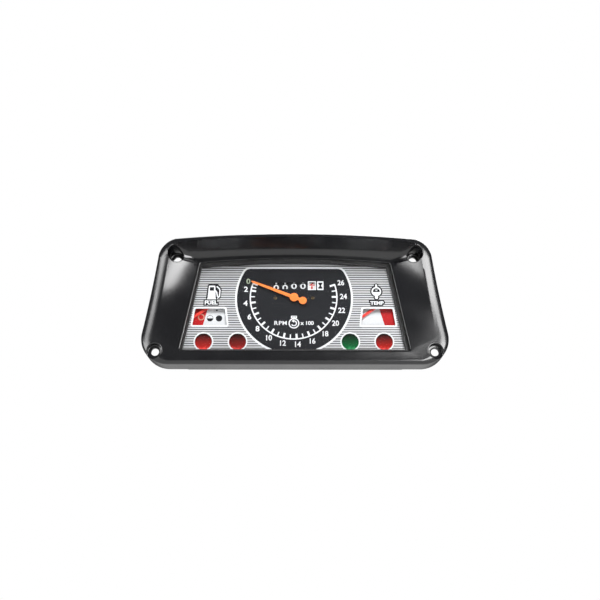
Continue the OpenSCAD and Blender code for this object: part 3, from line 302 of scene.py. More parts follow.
def cast(name, colour, roughness=0.5):
    """Die-cast or zinc-plated metal: mottled and dull"""
    surface = Surface(name, colour, roughness, metallic=0.9)
    surface.bump(surface.noise(700, 5), 0.25, 0.00004)
    cloud = surface.noise(90, 5)
    surface.two_tones(cloud, shade(colour, 0.7), shade(colour, 1.05))
    surface.gloss(cloud, roughness - 0.1, roughness + 0.1)
    return surface.mat


def ink(name, colour, roughness=0.45, painted_glow=0.0):
    """Screen-printed ink with a faint unevenness, and a painted glow where one is given"""
    surface = Surface(name, colour, roughness)
    cloud = surface.noise(900)
    surface.two_tones(cloud, shade(colour, 0.9), colour)
    surface.bump(cloud, 0.1, 0.00001)
    # painted_glow lets the print give off light of its own: painted light
    fill(surface.shader, {"Specular IOR Level": 0.12, "Emission Strength": painted_glow})
    if painted_glow:
        fill(surface.shader, {"Emission Color": (*colour, 1)})
    return surface.mat


def striped_dial(name, silver):
    """Silver lacquer with thin dark lines across it"""
    surface = Surface(name, silver, 0.34, metallic=0.2)
    split = surface.place("ShaderNodeSeparateXYZ")
    pitch = settings("print_sizes").stripe_pitch * MM
    count = surface.through(split, "ShaderNodeMath", 0, {1: 1 / pitch}, "Z", operation="MULTIPLY")
    part = surface.through(count, "ShaderNodeMath", 0, operation="FRACT")
    line = shade(silver, 0.1)
    surface.tones(part, [(0.38, line), (0.44, silver), (0.96, silver), (1.0, line)])
    lines = surface.noise(500, 4, (0.05, 1, 1))
    surface.gloss(lines, 0.28, 0.42)
    surface.bump(lines, 0.12, 0.00001)
    return surface.mat


def clear_pane(name, colour, alpha):
    """Clear plastic or glass with faint smears"""
    surface = Surface(name, colour, 0.06, alpha=alpha)
    fill(surface.shader, {"IOR": 1.49})
    surface.gloss(surface.noise(25), 0.04, 0.12)
    return surface.mat


def jewel(name, colour, factor=1.0):
    """Coloured lamp plastic with painted light: painted shade darkens it towards the top, painted light brightens
    it towards the bottom, and a faint painted glow
    """
    colour = shade(colour, factor)
    surface = Surface(name, colour, 0.3)
    centre, r = middle(LAMP_NODES[0]).z * MM, 8 * MM
    # Painted light and shade: the lens's colour runs from painted shade at its top to painted light at its bottom
    height = surface.through(surface.place("ShaderNodeSeparateXYZ"), "ShaderNodeMapRange", "Value",
                             {"From Min": centre + r, "From Max": centre - r}, "Z")
    facets, most = 0.35, 1.35
    mixed = surface.through(surface.noise(420, 2), "ShaderNodeMath", 0, {1: facets},
                            operation="MULTIPLY_ADD")
    link(surface.tree, height, mixed, 2)
    share = surface.through(mixed, "ShaderNodeMath", 0, {1: most}, operation="DIVIDE")
    stops = [(place / most, shade(colour, tone))
             for place, tone in ((0.25, 0.04), (0.6, 0.28), (0.95, 0.6))]
    # painted_light_stop is the lightest stop, at the lens's bottom: painted light
    painted_light_stop = tuple(channel + 0.05 for channel in shade(colour, 2.1))
    ramp = surface.tones(share, stops + [(1.2 / most, painted_light_stop)])
    # Painted glow: the lens gives off its shaded colour as light of its own
    link(surface.tree, ramp, surface.shader, "Emission Color")
    fill(surface.shader, {"Specular IOR Level": 0.2, "Emission Strength": 0.16})
    return surface.mat


# What makes the finish, its colour or the name of a colour on the panel, and its other values
FINISHES = {
    "bezel_plastic": (moulded, "bezel", 0.21, 1000, 0.00005, 0.03),
    "case_plastic": (moulded, (0.016, 0.016, 0.017), 0.55, 900, 0.00004),
    "holder_plastic": (moulded, (0.02, 0.02, 0.021), 0.45, 1400),
    "white_plastic": (moulded, (0.62, 0.6, 0.54), 0.5, 1200),
    "natural_plastic": (moulded, (0.7, 0.68, 0.6), 0.42, 1500),
    "rubber": (moulded, (0.015, 0.015, 0.015), 0.8, 600, 0.00005),
    "frame_black": (moulded, (0.007, 0.007, 0.008), 0.5, 1500),
    "dial_silver": (striped_dial, "silver"),
    "black_ink": (ink, (0.015, 0.016, 0.019), 0.4),
    # After an ink's roughness comes its painted glow: light that the print gives off as if lit
    "white_ink": (ink, (0.79, 0.81, 0.83), 0.45, 0.06),
    "red_ink": (ink, (0.6, 0.018, 0.016), 0.45, 0.03),
    "pale_ink": (ink, (0.72, 0.74, 0.76)),
    "scale_red": (ink, (0.46, 0.014, 0.016), 0.45, 0.03),
    "pointer_red": (ink, (0.8, 0.06, 0.045), 0.35, 0.06),
    # The fuel scale's white ring, dimmed to tan by painted shade
    "scale_tan": (ink, (0.5, 0.3, 0.22)),
    "zero_ink": (ink, (0.36, 0.43, 0.31), 0.45, 0.05),
    "drum_black": (ink, (0.012, 0.012, 0.013), 0.5),
    "drum_white": (ink, (0.8, 0.8, 0.78), 0.5),
    # The pointer's orange has the strongest painted glow
    "needle_orange": (ink, "needle", 0.4, 0.16),
    "amber_film": (ink, (0.22, 0.085, 0.012), 0.25),
    "glass": (clear_pane, (0.03, 0.03, 0.03), 0.05),
    "bulb_glass": (clear_pane, (0.03, 0.03, 0.03), 0.3),
    "red_jewel": (jewel, "red_lamp"),
    "dark_jewel": (jewel, "red_lamp", 0.6),
    "green_jewel": (jewel, "green_lamp"),
    "zinc_steel": (brushed, (0.58, 0.59, 0.6), 0.36, (1, 1, 1), 500),
    "bright_steel": (brushed, (0.66, 0.66, 0.66), 0.25, (1, 12, 1)),
    "dark_steel": (brushed, (0.13, 0.1, 0.06), 0.35, (1, 1, 1), 500),
    "brass": (brushed, (0.72, 0.5, 0.2), 0.32, (1, 6, 1)),
    "copper": (brushed, (0.72, 0.33, 0.16), 0.35, (3, 1, 3), 200),
    "spun_aluminium": (brushed, (0.75, 0.75, 0.76), 0.3, (1, 8, 1)),
    "can_steel": (cast, (0.5, 0.5, 0.47), 0.42),
    "casting": (cast, (0.45, 0.45, 0.46)),
    "magnet_alloy": (cast, (0.12, 0.12, 0.13), 0.55),
}
MATERIALS = {}


def material(name):
    """Each finish is made once, when a piece first asks for it"""
    if name not in MATERIALS:
        make, colour, *values = FINISHES[name]
        if isinstance(colour, str):
            colour = tuple(getattr(settings("finishes"), colour))
        MATERIALS[name] = make(name, colour, *values)
    return MATERIALS[name]


# Meshes

def make_object(name, data):
    obj = bpy.data.objects.new(name, data)
    bpy.context.scene.collection.objects.link(obj)
    return obj


def mesh_piece(name, points, faces):
    """A mesh from points in millimetres"""
    mesh = bpy.data.meshes.new(name)
    mesh.from_pydata([Vector(p) * MM for p in points], [], faces)
    mesh.validate()
    mesh.update()
    return make_object(name, mesh)


def from_bmesh(name, bm, weld=1e-8):
    """A mesh with its faces turned outwards"""
    bmesh.ops.remove_doubles(bm, verts=bm.verts, dist=weld)
    bmesh.ops.recalc_face_normals(bm, faces=bm.faces)
    mesh = bpy.data.meshes.new(name)
    bm.to_mesh(mesh)
    bm.free()
    return make_object(name, mesh)


def lofted(name, rings, around=False):
    """A closed solid through rings of points: round to the first ring, or with two flat ends"""
    bm = bmesh.new()
    rows = [[bm.verts.new(Vector(p) * MM) for p in ring] for ring in rings]
    for a, b in zip(rows, rows[1:] + rows[:1] if around else rows[1:]):
        for k in range(len(a)):
            m = (k + 1) % len(a)
            bm.faces.new((a[k], a[m], b[m], b[k]))
    if not around:
        bm.faces.new(rows[0])
        bm.faces.new(rows[-1])
    return from_bmesh(name, bm)


def lathe(name, profile, x=0.0, z=0.0, steps=64):
    """A closed solid turned about a line along Y. profile is [(along, radius), ...]"""
    around = profile[0] == profile[-1]
    rings = [[(u, along, v) for u, v in ring_loop(x, z, r, steps)] for along, r in profile]
    return lofted(name, rings[:-1] if around else rings, around)


def smooth(obj, angle=35):
    """Smooth shading, with hard edges where faces meet at more than the angle"""
    mesh = obj.data
    mesh.shade_smooth()
    bm = bmesh.new()
    bm.from_mesh(mesh)
    limit = math.radians(angle)
    for edge in bm.edges:
        if len(edge.link_faces) == 2 and edge.calc_face_angle(0) > limit:
            edge.smooth = False
    bm.to_mesh(mesh)
    bm.free()
    return obj


def evaluated(obj):
    """The object's finished mesh as a new object in its place"""
    graph = bpy.context.evaluated_depsgraph_get()
    graph.update()
    mesh = bpy.data.meshes.new_from_object(obj.evaluated_get(graph))
    mesh.transform(obj.matrix_world)
    name = obj.name
    bpy.data.objects.remove(obj)
    return make_object(name, mesh)


def join(name, pieces):
    """Several objects as one, their places taken into the mesh"""
    bm = bmesh.new()
    materials = []
    for piece in pieces:
        piece.data.transform(piece.matrix_world)
        own = [slot.material for slot in piece.material_slots]
        materials += [mat for mat in dict.fromkeys(own) if mat not in materials]
        start = len(bm.faces)
        bm.from_mesh(piece.data)
        bm.faces.ensure_lookup_table()
        for face in bm.faces[start:]:
            face.material_index = materials.index(own[face.material_index]) if own else 0
        bpy.data.objects.remove(piece)
    mesh = bpy.data.meshes.new(name)
    bm.to_mesh(mesh)
    bm.free()
    for mat in materials:
        mesh.materials.append(mat)
    return make_object(name, mesh)


def wear_material(obj, name):
    obj.data.materials.clear()
    obj.data.materials.append(material(name))
    return obj


def finish_node(node, name):
    """A CAD node keeps its shape and gets a finish"""
    for slot in NODES[node].material_slots:
        slot.material = material(name)


def fit(obj, finish, body, slot, *stands_for):
    """Gives a piece its finish and its body, and hides the nodes that it stands for; slot is not used"""
    if finish:
        wear_material(obj, finish)
    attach(obj, body)
    if stands_for:
        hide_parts(*stands_for)


def polar(r, degrees, x=0.0, z=0.0):
    a = math.radians(degrees)
    return (x + r * math.cos(a), z + r * math.sin(a))


def arc(x, z, r, start, end, steps):
    """Points of an arc, angles in degrees from the right"""
    return [polar(r, start + (end - start) * k / steps, x, z) for k in range(steps + 1)]


def ring_loop(x, z, r, steps=64):
    return arc(x, z, r, 0, 360, steps)[:-1]


def box_loop(x0, z0, x1, z1, r=0.0):
    if r <= 0:
        return [(x0, z0), (x1, z0), (x1, z1), (x0, z1)]
    return (arc(x0 + r, z0 + r, r, 180, 270, 5) + arc(x1 - r, z0 + r, r, 270, 360, 5)
            + arc(x1 - r, z1 - r, r, 0, 90, 5) + arc(x0 + r, z1 - r, r, 90, 180, 5))


def on_place(points, x, z):
    return [(u + x, v + z) for u, v in points]


def standing(name, curve, y):
    """Turns a flat curve to face the driver and makes it a closed mesh at depth y"""
    temp = make_object(name + "_flat", curve)
    graph = bpy.context.evaluated_depsgraph_get()
    mesh = bpy.data.meshes.new_from_object(temp.evaluated_get(graph))
    bpy.data.objects.remove(temp)
    mesh.transform(Matrix.Translation((0, y * MM, 0)) @ Matrix.Rotation(math.pi / 2, 4, "X"))
    bm = bmesh.new()
    bm.from_mesh(mesh)
    return from_bmesh(name, bm, 1e-7)


def flat_shape(name, loops, y, thickness):
    """Closed loops of (x, z) filled by the even-odd rule, from y forward to y - thickness"""
    curve = bpy.data.curves.new(name, "CURVE")
    curve.dimensions = "2D"
    curve.fill_mode = "BOTH"
    curve.extrude = thickness / 2 * MM
    for loop in loops:
        spline = curve.splines.new("POLY")
        spline.points.add(len(loop) - 1)
        spline.use_cyclic_u = True
        for point, (x, z) in zip(spline.points, loop):
            point.co = (x * MM, z * MM, 0, 1)
    return standing(name, curve, y - thickness / 2)


def extremes(points):
    """The lowest and the highest corner of the box round some points"""
    return [Vector([pick(p[i] for p in points) for i in range(3)]) for pick in (min, max)]


def lettering(words, x, z, height, y, thickness, weight=0.0, width=1.0, grow=0.0):
    """Raised lettering centred on (x, z), its capitals as tall as height before they are grown"""
    curve = bpy.data.curves.new("word", "FONT")
    curve.body = words
    curve.align_x = curve.align_y = "CENTER"
    curve.offset = weight
    curve.resolution_u = 4
    sample = standing("sample", curve, 0)
    lowest, highest = extremes([v.co for v in sample.data.vertices])
    bpy.data.objects.remove(sample)
    scale = height * MM / (highest.z - lowest.z)
    curve.offset = weight + grow * MM / scale
    curve.extrude = thickness / 2 * MM / scale
    piece = standing("word", curve, 0)
    centre = (lowest + highest) / 2
    piece.data.transform(Matrix.Translation((x * MM, (y - thickness / 2) * MM, z * MM))
                         @ Matrix.Diagonal((scale * width, scale, scale, 1))
                         @ Matrix.Translation((-centre.x, 0, -centre.z)))
    return piece


def box_piece(name, corner, opposite, bevel=0.0, steps=2):
    """A closed box between two corners, with softened edges"""
    a, b = Vector(corner), Vector(opposite)
    bm = bmesh.new()
    bmesh.ops.create_cube(bm, size=1)
    for vert in bm.verts:
        vert.co = ((a + b) / 2 + vert.co * (b - a)) * MM
    if bevel:
        bmesh.ops.bevel(bm, geom=bm.edges[:], offset=bevel * MM, segments=steps, profile=0.5,
                        affect="EDGES")
    return from_bmesh(name, bm)


def cut(target, cutters):
    """Takes the cutters out of the target"""
    for cutter in cutters:
        modifier = target.modifiers.new("cut", "BOOLEAN")
        modifier.operation = "DIFFERENCE"
        modifier.solver = "EXACT"
        modifier.object = cutter
    result = evaluated(target)
    for cutter in cutters:
        bpy.data.objects.remove(cutter)
    return result


def solid_boxes(node):
    """Lowest and highest corners of a node's separate solids, in millimetres, from the left"""
    bm = bmesh.new()
    bm.from_mesh(NODES[node].data)
    bmesh.ops.remove_doubles(bm, verts=bm.verts, dist=1e-6)
    left = set(bm.verts)
    boxes = []
    while left:
        stack = [left.pop()]
        found = list(stack)
        while stack:
            for edge in stack.pop().link_edges:
                new = [vert for vert in edge.verts if vert in left]
                left.difference_update(new)
                stack += new
                found += new
        boxes.append(extremes([v.co / MM for v in found]))
    bm.free()
    return sorted(boxes, key=lambda box: (round(box[0].x, 2), round(box[0].z, 2)))


def threaded(name, x, z, r, y0, y1, pitch, depth, steps=48, rows_per_turn=8):
    """A closed bar along Y with a helical thread that runs out at both ends"""
    rows = max(4, int((y1 - y0) / pitch * rows_per_turn))
    rings = []
    for i in range(rows + 1):
        y = y0 + (y1 - y0) * i / rows
        full = min(1, min(y - y0, y1 - y) / (pitch * 0.8))
        ring = []
        for k in range(steps):
            wave = abs(((y / pitch - k / steps) % 1) * 2 - 1)
            groove = full * min(1, max(0, wave * 1.5 - 0.25)) + (1 - full) * 0.8
            u, v = polar(r - depth * groove, 360 * k / steps, x, z)
            ring.append((u, y, v))
        rings.append(ring)
    return lofted(name, rings)


def hex_nut(name, x, z, r, y0, y1, bore):
    """A chamfered hexagon nut round a line along Y"""
    sides, chamfer = 36, ((y0, 0.93), (y0 + 0.25, 1.0), (y1 - 0.35, 1.0), (y1, 0.9))
    rings = []
    for y, grow in chamfer:
        ring = []
        for k in range(sides):
            a = 360 * k / sides
            flat = r * math.cos(math.pi / 6) / math.cos(math.radians(a % 60 - 30))
            u, v = polar(min(flat, r * grow), a, x, z)
            ring.append((u, y, v))
        rings.append(ring)
    rings += [[(u, y, v) for u, v in ring_loop(x, z, bore, sides)] for y in (y1, y0)]
    return lofted(name, rings, around=True)


def track(points, width):
    """A line of constant width through points, as one closed loop"""
    points = [Vector(p) for p in points]
    left, right = [], []
    for k, p in enumerate(points):
        a = (p - points[k - 1]).normalized() if k else None
        b = (points[k + 1] - p).normalized() if k < len(points) - 1 else None
        way = ((a or b) + (b or a)).normalized()
        across = Vector((-way.y, way.x))
        ref = a or b
        share = max(0.4, across.dot(Vector((-ref.y, ref.x))))
        left.append(p + across * width / 2 / share)
        right.append(p - across * width / 2 / share)
    return [(q.x, q.y) for q in left + right[::-1]]


# Stage

# Name, place, size, power, whether surfaces mirror it, and whether it lights them
LIGHTS = (("left_softbox", (-0.84, -0.67, -0.1), (0.66, 0.34), 8, True, False),
          ("right_softbox", (0.64, -0.87, -0.1), (0.86, 0.34), 17, True, False),
          ("left_upper_box", (-0.69, -0.83, 0.18), (0.4, 0.24), 2.5, True, False),
          ("right_upper_box", (0.69, -0.83, 0.18), (0.4, 0.24), 3.9, True, False),
          ("front_fill", (0.05, -0.85, 0.8), (0.6, 0.6), 23, False, True),
          ("back_softbox", (0.3, 1.0, 0.8), (0.9, 0.9), 14, True, True))
WHITE = (1, 1, 1, 1)


class STAGE_OT_build(bpy.types.Operator):
    """Camera at the photograph's angle, soft lights and a pale floor"""
    bl_idname = "instrument.stage"
    bl_label = "Stage"

    def execute(self, context):
        for name in ("Cube", "Light", "Camera"):
            spare = bpy.data.objects.get(name)
            if spare:
                bpy.data.objects.remove(spare)
        sizes = settings("stage_sizes")
        self.camera(context.scene, sizes)
        for light in LIGHTS:
            self.light(*light)
        self.surroundings(context.scene, sizes.floor)
        context.scene.view_settings.view_transform = "Standard"
        return {"FINISHED"}

    def camera(self, scene, sizes):
        tilt, turn = math.radians(sizes.tilt), math.radians(sizes.turn)
        forward = Vector((math.sin(turn) * math.cos(tilt), math.cos(turn) * math.cos(tilt),
                          math.sin(tilt)))
        right = Vector((math.cos(turn), -math.sin(turn), 0))
        up = right.cross(forward)
        aim = (right * sizes.aside + up * sizes.above) * MM
        camera = make_object("camera", bpy.data.cameras.new("camera"))
        camera.data.lens = sizes.focal
        camera.data.sensor_width = 36
        camera.data.clip_start = 0.01
        camera.matrix_world = Matrix.Translation(aim - forward * sizes.distance * MM) \
            @ Matrix((right, up, -forward)).transposed().to_4x4()
        scene.camera = camera

    def light(self, name, place, span, power, mirrored, lighting):
        lamp = bpy.data.lights.new(name, "AREA")
        lamp.shape = "RECTANGLE"
        lamp.size, lamp.size_y = span
        lamp.energy = power
        holder = make_object(name, lamp)
        holder.location = place
        holder.rotation_euler = (-Vector(place)).to_track_quat("-Z", "Y").to_euler()
        holder.visible_glossy = mirrored
        holder.visible_diffuse = lighting

    def surroundings(self, scene, below, dimmed=0.18, half=3000):
        """A world that is white to the camera and dim to the part, and the floor"""
        scene.world = bpy.data.worlds.new("studio")
        scene.world.use_nodes = True
        tree = scene.world.node_tree
        tree.nodes.clear()
        mix = add_node(tree, "ShaderNodeMixShader")
        link(tree, add_node(tree, "ShaderNodeLightPath"), mix, "Fac", "Is Camera Ray")
        for n, strength in ((1, dimmed), (2, 1.0)):
            inputs = {"Color": WHITE, "Strength": strength}
            link(tree, add_node(tree, "ShaderNodeBackground", inputs), mix, n)
        link(tree, mix, add_node(tree, "ShaderNodeOutputWorld"), "Surface")
        corners = [(-half, -half), (half, -half), (half, half), (-half, half)]
        floor = mesh_piece("floor", [(x, y, -below) for x, y in corners], [(0, 1, 2, 3)])
        surface = Surface("pale_floor", (0.8, 0.8, 0.79), 0.7)
        fill(surface.shader, {"Emission Color": WHITE, "Emission Strength": 0.3})
        floor.data.materials.append(surface.mat)


# Bezel

# Rows along half the foot, round a corner, up a side and along half the top
LOW_ROWS, CORNER_ROWS, SIDE_ROWS, TOP_ROWS = 12, 24, 30, 36
# Where the wall's back face is measured, as shares of the way from the crest to the window
BACK_SHARES = (0.85, 0.65, 0.5, 0.35, 0.22, 0.12)


class Outline:
    """The right half of a rounded outline with leaning sides and an arched top"""

    def __init__(self, low_half, high_half, low_z, high_z, arch):
        self.low_half, self.high_half = low_half, high_half
        self.low_z, self.high_z, self.arch = low_z, high_z, arch
        self.lean = math.atan((low_half - high_half) / (high_z - low_z))

    def lifted(self, x, z):
        share = max(0, min(1, (z - self.low_z) / (self.high_z - self.low_z)))
        return Vector((x, z + self.arch * (1 - (x / self.high_half) ** 2) * share))

    def half(self, low_r, high_r, grow=0.0):
        """[(point, outward direction)] from the bottom middle round to the top middle"""
        tan, cos = math.tan(self.lean), math.cos(self.lean)
        a = Vector((self.low_half - low_r * tan - low_r / cos, self.low_z + low_r))
        b_z = self.high_z - high_r
        b = Vector((self.low_half - (b_z - self.low_z) * tan - high_r / cos, b_z))
        lean = math.degrees(self.lean)
        corner = [k / CORNER_ROWS for k in range(CORNER_ROWS + 1)]
        side = [k / SIDE_ROWS for k in range(1, SIDE_ROWS)]
        runs = [(Vector((a.x * k / LOW_ROWS, a.y)), -90, low_r) for k in range(LOW_ROWS)]
        runs += [(a, -90 + (90 + lean) * t, low_r) for t in corner]
        runs += [(a.lerp(b, t), lean, low_r + (high_r - low_r) * t) for t in side]
        runs += [(b, lean + (90 - lean) * t, high_r) for t in corner]
        runs += [(Vector((b.x * k / TOP_ROWS, b.y)), 90, high_r)
                 for k in range(TOP_ROWS - 1, -1, -1)]
        result = []
        for centre, angle, r in runs:
            heading = Vector(polar(1, angle))
            place = centre + (r + grow) * heading
            result.append((self.lifted(place.x, place.y), heading))
        return result


def window_half(grow=0.0, corner=None):
    """Right half of the window's outline, grown outwards"""
    s = settings("bezel_sizes")
    corner = corner or s.window_corner
    return Outline(s.window_low_half, s.window_high_half, -s.window_low, s.window_high,
                   s.window_arch).half(corner, corner, grow)


def window_loop(grow=0.0, corner=None):
    """The window's whole outline as one loop of (x, z)"""
    right = [(p.x, p.y) for p, _ in window_half(grow, corner)]
    return right + [(-x, z) for x, z in reversed(right[1:-1])]


def quarter(steps):
    """(1 - cos, 1 - sin) at each step of a quarter turn"""
    turns = [math.pi / 2 * k / steps for k in range(1, steps + 1)]
    return [(1 - math.cos(a), 1 - math.sin(a)) for a in turns]


def bezel_section(s, outer, window):
    """One closed section of the wall, as [((x, z), y), ...]"""
    (p, n), (w, wn) = outer, window
    side = abs(n.x)
    end = s.hood_round if n.y > 0 else s.low_round
    reach = side * s.side_round + (1 - side) * end
    fall = side * s.side_drop + (1 - side) * end
    crest = p - n * reach
    rise = max(0, crest.y + s.low_edge) / (s.high_edge + s.low_edge + s.arch)
    crest_y = -(s.rim_low + (s.rim_high - s.rim_low) * rise ** s.hood_rise)
    lip = LIP_FRONT - s.lip_t
    hood = max(0, n.y) ** s.hood_spread
    edge_w, edge_deep, hood_extra = 1.1, 0.45, 0.8
    near, back, inner = w + wn * edge_w, w + wn * s.wall, p - n * s.wall
    run = (w - crest).length

    def falling(t):
        left = hood * (1 - t) ** s.hood_fall + (1 - hood) * (1 - t ** s.side_fall)
        return lip + (crest_y - lip) * left

    section = [(p, 0.0), (p, crest_y + fall)]
    section += [(p - n * reach * across, crest_y + fall * down) for across, down in quarter(10)]
    face_rows, crowding = 20, 1.25
    for k in range(1, face_rows + 1):
        t = (k / face_rows) ** crowding
        section.append((crest.lerp(near, t), falling(t)))
    section += [(near - wn * edge_w * (1 - down), lip + edge_deep * across)
                for across, down in quarter(4)]
    section += [(w, LIP_FRONT), (back, LIP_FRONT)]
    aside = 0.02
    for t in BACK_SHARES:
        steep = (falling(t + aside) - falling(t - aside)) / (2 * aside * run)
        section.append((crest.lerp(back, t), falling(t) + s.wall * math.hypot(1, steep)))
    section += [(crest, crest_y + s.wall * (1 + hood_extra * hood)),
                (inner, crest_y + fall + s.wall / 2), (inner, 0.0)]
    return section


def bezel_shell(s):
    lean = math.radians(s.lean)
    low_half = s.width / 2 + s.lower_corner * (math.tan(lean) + 1 / math.cos(lean) - 1)
    drop = (s.high_edge + s.low_edge) * math.tan(lean)
    outer = Outline(low_half, low_half - drop, -s.low_edge, s.high_edge, s.arch)
    halves = zip(outer.half(s.lower_corner, s.upper_corner, -SKIN), window_half())
    right = [[(p.x, y, p.y) for p, y in bezel_section(s, o, w)] for o, w in halves]
    left = [[(-x, y, z) for x, y, z in section] for section in reversed(right[1:-1])]
    return lofted("bezel_shell", right + left, around=True)


def fixing_places():
    """Centres of the four fixing holes, from the record's bolt patterns"""
    places = []
    for mount in frame["record"]["mounts"]:
        if mount["kind"] == "bolt_pattern":
            half = mount["dims"]["spacing_x_mm"] / 2
            x, _, z = (value / MM for value in mount["pos_m"])
            places += [(x - half, z), (x + half, z)]
    return places


def fixing_cup(name, s, x, z, surface, steps=96):
    """A counterbore whose rounded mouth follows the bezel's face"""
    cup, hole, front = s.cup_d / 2, s.hole_d / 2, -s.floor_front
    mouth = cup + s.cup_round
    cup_wall, thick, hidden = 2.4, 1.6, 1.2
    fillet, chamfer = 0.6, 0.3

    def face_y(r, turn):
        u, v = polar(r, turn, x, z)
        hit = surface.ray_cast(Vector((u, -100, v)) * MM, Vector((0, 1, 0)))[0]
        return hit.y / MM if hit else None

    rings = []
    for k in range(steps):
        turn = 360 * k / steps
        outer = cup + cup_wall
        while face_y(outer + 0.2, turn) is None:
            outer -= 0.1
        lip_y = face_y(min(mouth, outer), turn)
        profile = [(mouth, lip_y)]
        profile += [(mouth - s.cup_round * (1 - down), lip_y + s.cup_round * across)
                    for across, down in quarter(5)]
        profile += [(cup, front - fillet), (cup - fillet / 3, front - fillet / 3),
                    (cup - fillet, front), (hole + chamfer, front), (hole, front + chamfer),
                    (hole, -s.floor_back), (outer, -s.floor_back),
                    (outer, face_y(outer, turn) + thick), (mouth, lip_y + hidden)]
        points = [(polar(r, turn, x, z), y) for r, y in profile]
        rings.append([(u, y, v) for (u, v), y in points])
    return lofted(name, rings, around=True)


class BEZEL_OT_build(bpy.types.Operator):
    """The moulded hood and frame with its four counterbored fixing holes"""
    bl_idname = "instrument.bezel"
    bl_label = "Bezel"

    def execute(self, context):
        s = settings("bezel_sizes")
        shell = bezel_shell(s)
        surface = BVHTree.FromObject(shell, context.evaluated_depsgraph_get())
        mouth = s.cup_d / 2 + s.cup_round - SKIN
        cutters, cups = [], []
        for n, (x, z) in enumerate(fixing_places()):
            cutters.append(lathe(f"mouth_{n}", [(-60, mouth), (5, mouth)], x, z, 96))
            cups.append(fixing_cup(f"cup_{n}", s, x, z, surface))
        shell = cut(shell, cutters)
        bezel = smooth(join("bezel_moulding", [shell] + cups + self.inside()), 32)
        fit(bezel, "bezel_plastic", "root", "bezel_plastic", "bezel")
        return {"FINISHED"}

    def inside(self):
        """The collar round the lens and the bosses for the case screws"""
        back = DIAL_BACK - 0.5
        collar = flat_shape("collar", [window_loop(grow) for grow in (3.3, 4.9)], back,
                            back - LIP_FRONT + 0.3)
        start = max(low("case_screws").y - 2, -30) - 4
        bore, r, end = 2.05, 4.5, -8
        profile = [(end, bore), (end, r), (start, r), (start, bore), (end, bore)]
        bosses = [lathe(f"boss_{n}", profile, (a.x + b.x) / 2, (a.z + b.z) / 2, 40)
                  for n, (a, b) in enumerate(solid_boxes("case_screws"))]
        return [collar] + bosses


# Window and its frame

# How far the lens reaches past the window's edge, and how far the frame shows inside it
LENS_REACH, FRAME_REACH = 2.9, 2.6


class WINDOW_OT_build(bpy.types.Operator):
    """The clear lens, its rubber strip and the black frame behind it"""
    bl_idname = "instrument.window"
    bl_label = "Window"

    def execute(self, context):
        opening_corner = 3.6
        outline = window_loop(LENS_REACH)
        opening = on_place(window_loop(-FRAME_REACH, opening_corner), DIAL_X, 0)
        for name, loops, finish, slot, node in (
                ("window_pane", [outline], "glass", "lens", "window_lens"),
                ("dial_frame", [outline, opening], "frame_black", "black_plastic",
                 "dial_spacer")):
            front, back = low(node).y, high(node).y
            piece = flat_shape(name, loops, back, back - front)
            fit(piece, finish, "root", slot, node)
            piece.visible_shadow = node != "window_lens"
        finish_node("lens_seal", "rubber")
        return {"FINISHED"}


# Dial print

BLACK_LAYER, WHITE_LAYER, RING_LAYER = 0.04, 0.08, 0.12
LAMP_RING_R = 9.45


def print_angle(value):
    """Direction of a value on the dial, counted round from the right"""
    s = settings("print_sizes")
    if value < s.even_from:
        return s.first_angle + (s.even_angle - s.first_angle) * value / s.even_from
    return s.even_angle + s.step_angle * (value - s.even_from)


def zone_loop(r, top, corner, foot):
    """The black zone: a circle cut flat at the top, with rounded corners, and at its foot"""
    corner_z = top - corner
    corner_x = math.sqrt((r - corner) ** 2 - corner_z ** 2)
    turn = math.degrees(math.atan2(corner_z, corner_x))
    right = arc(corner_x, corner_z, corner, 90, turn, 10)
    right += arc(0, 0, r, turn, -math.degrees(math.asin(foot / r)), 48)[1:]
    left = [(-x, z) for x, z in reversed(right)]
    return on_place(right + left, DIAL_X, 0)


def gauge_loop(x, top, foot, top_half, foot_half, grow, r):
    """Outline of a gauge window, grown outwards"""
    lean = (foot_half - top_half) / (top - foot)
    top_half += grow - lean * grow
    foot_half += grow + lean * grow
    top, foot = top + grow, foot - grow
    corners = [Vector(corner) for corner in ((x - foot_half, foot), (x + foot_half, foot),
                                             (x + top_half, top), (x - top_half, top))]
    loop = []
    for k, p in enumerate(corners):
        before = p + (corners[k - 1] - p).normalized() * r
        after = p + (corners[(k + 1) % 4] - p).normalized() * r
        for j in range(6):
            t = j / 5
            q = before * (1 - t) ** 2 + p * 2 * t * (1 - t) + after * t ** 2
            loop.append((q.x, q.y))
    return loop


def dial_holes():
    """Loops of (x, z) round the openings of the dial plate, from its front face's open edges"""
    bm = bmesh.new()
    bm.from_mesh(NODES["dial_plate"].data)
    bmesh.ops.remove_doubles(bm, verts=bm.verts, dist=1e-6)
    front = [f for f in bm.faces if f.normal.y < -0.9]
    inside = set(front)
    edges = {}
    for face in front:
        for loop in face.loops:
            others = [f for f in loop.edge.link_faces if f is not face]
            if others and others[0] not in inside:
                edges.setdefault(loop.vert, loop.link_loop_next.vert)
    loops = []
    while edges:
        start, vert = edges.popitem()
        points = [start]
        while vert is not start:
            points.append(vert)
            vert = edges.pop(vert)
        loops.append([(p.co.x / MM, p.co.z / MM) for p in points])
    bm.free()
    outline = max(loops, key=lambda loop: extent(loop)[2])
    return [loop for loop in loops if loop is not outline]


def extent(loop):
    xs, zs = zip(*loop)
    return min(xs), min(zs), max(xs), max(zs)


def loop_middle(loop):
    x0, z0, x1, z1 = extent(loop)
    return (x0 + x1) / 2, (z0 + z1) / 2


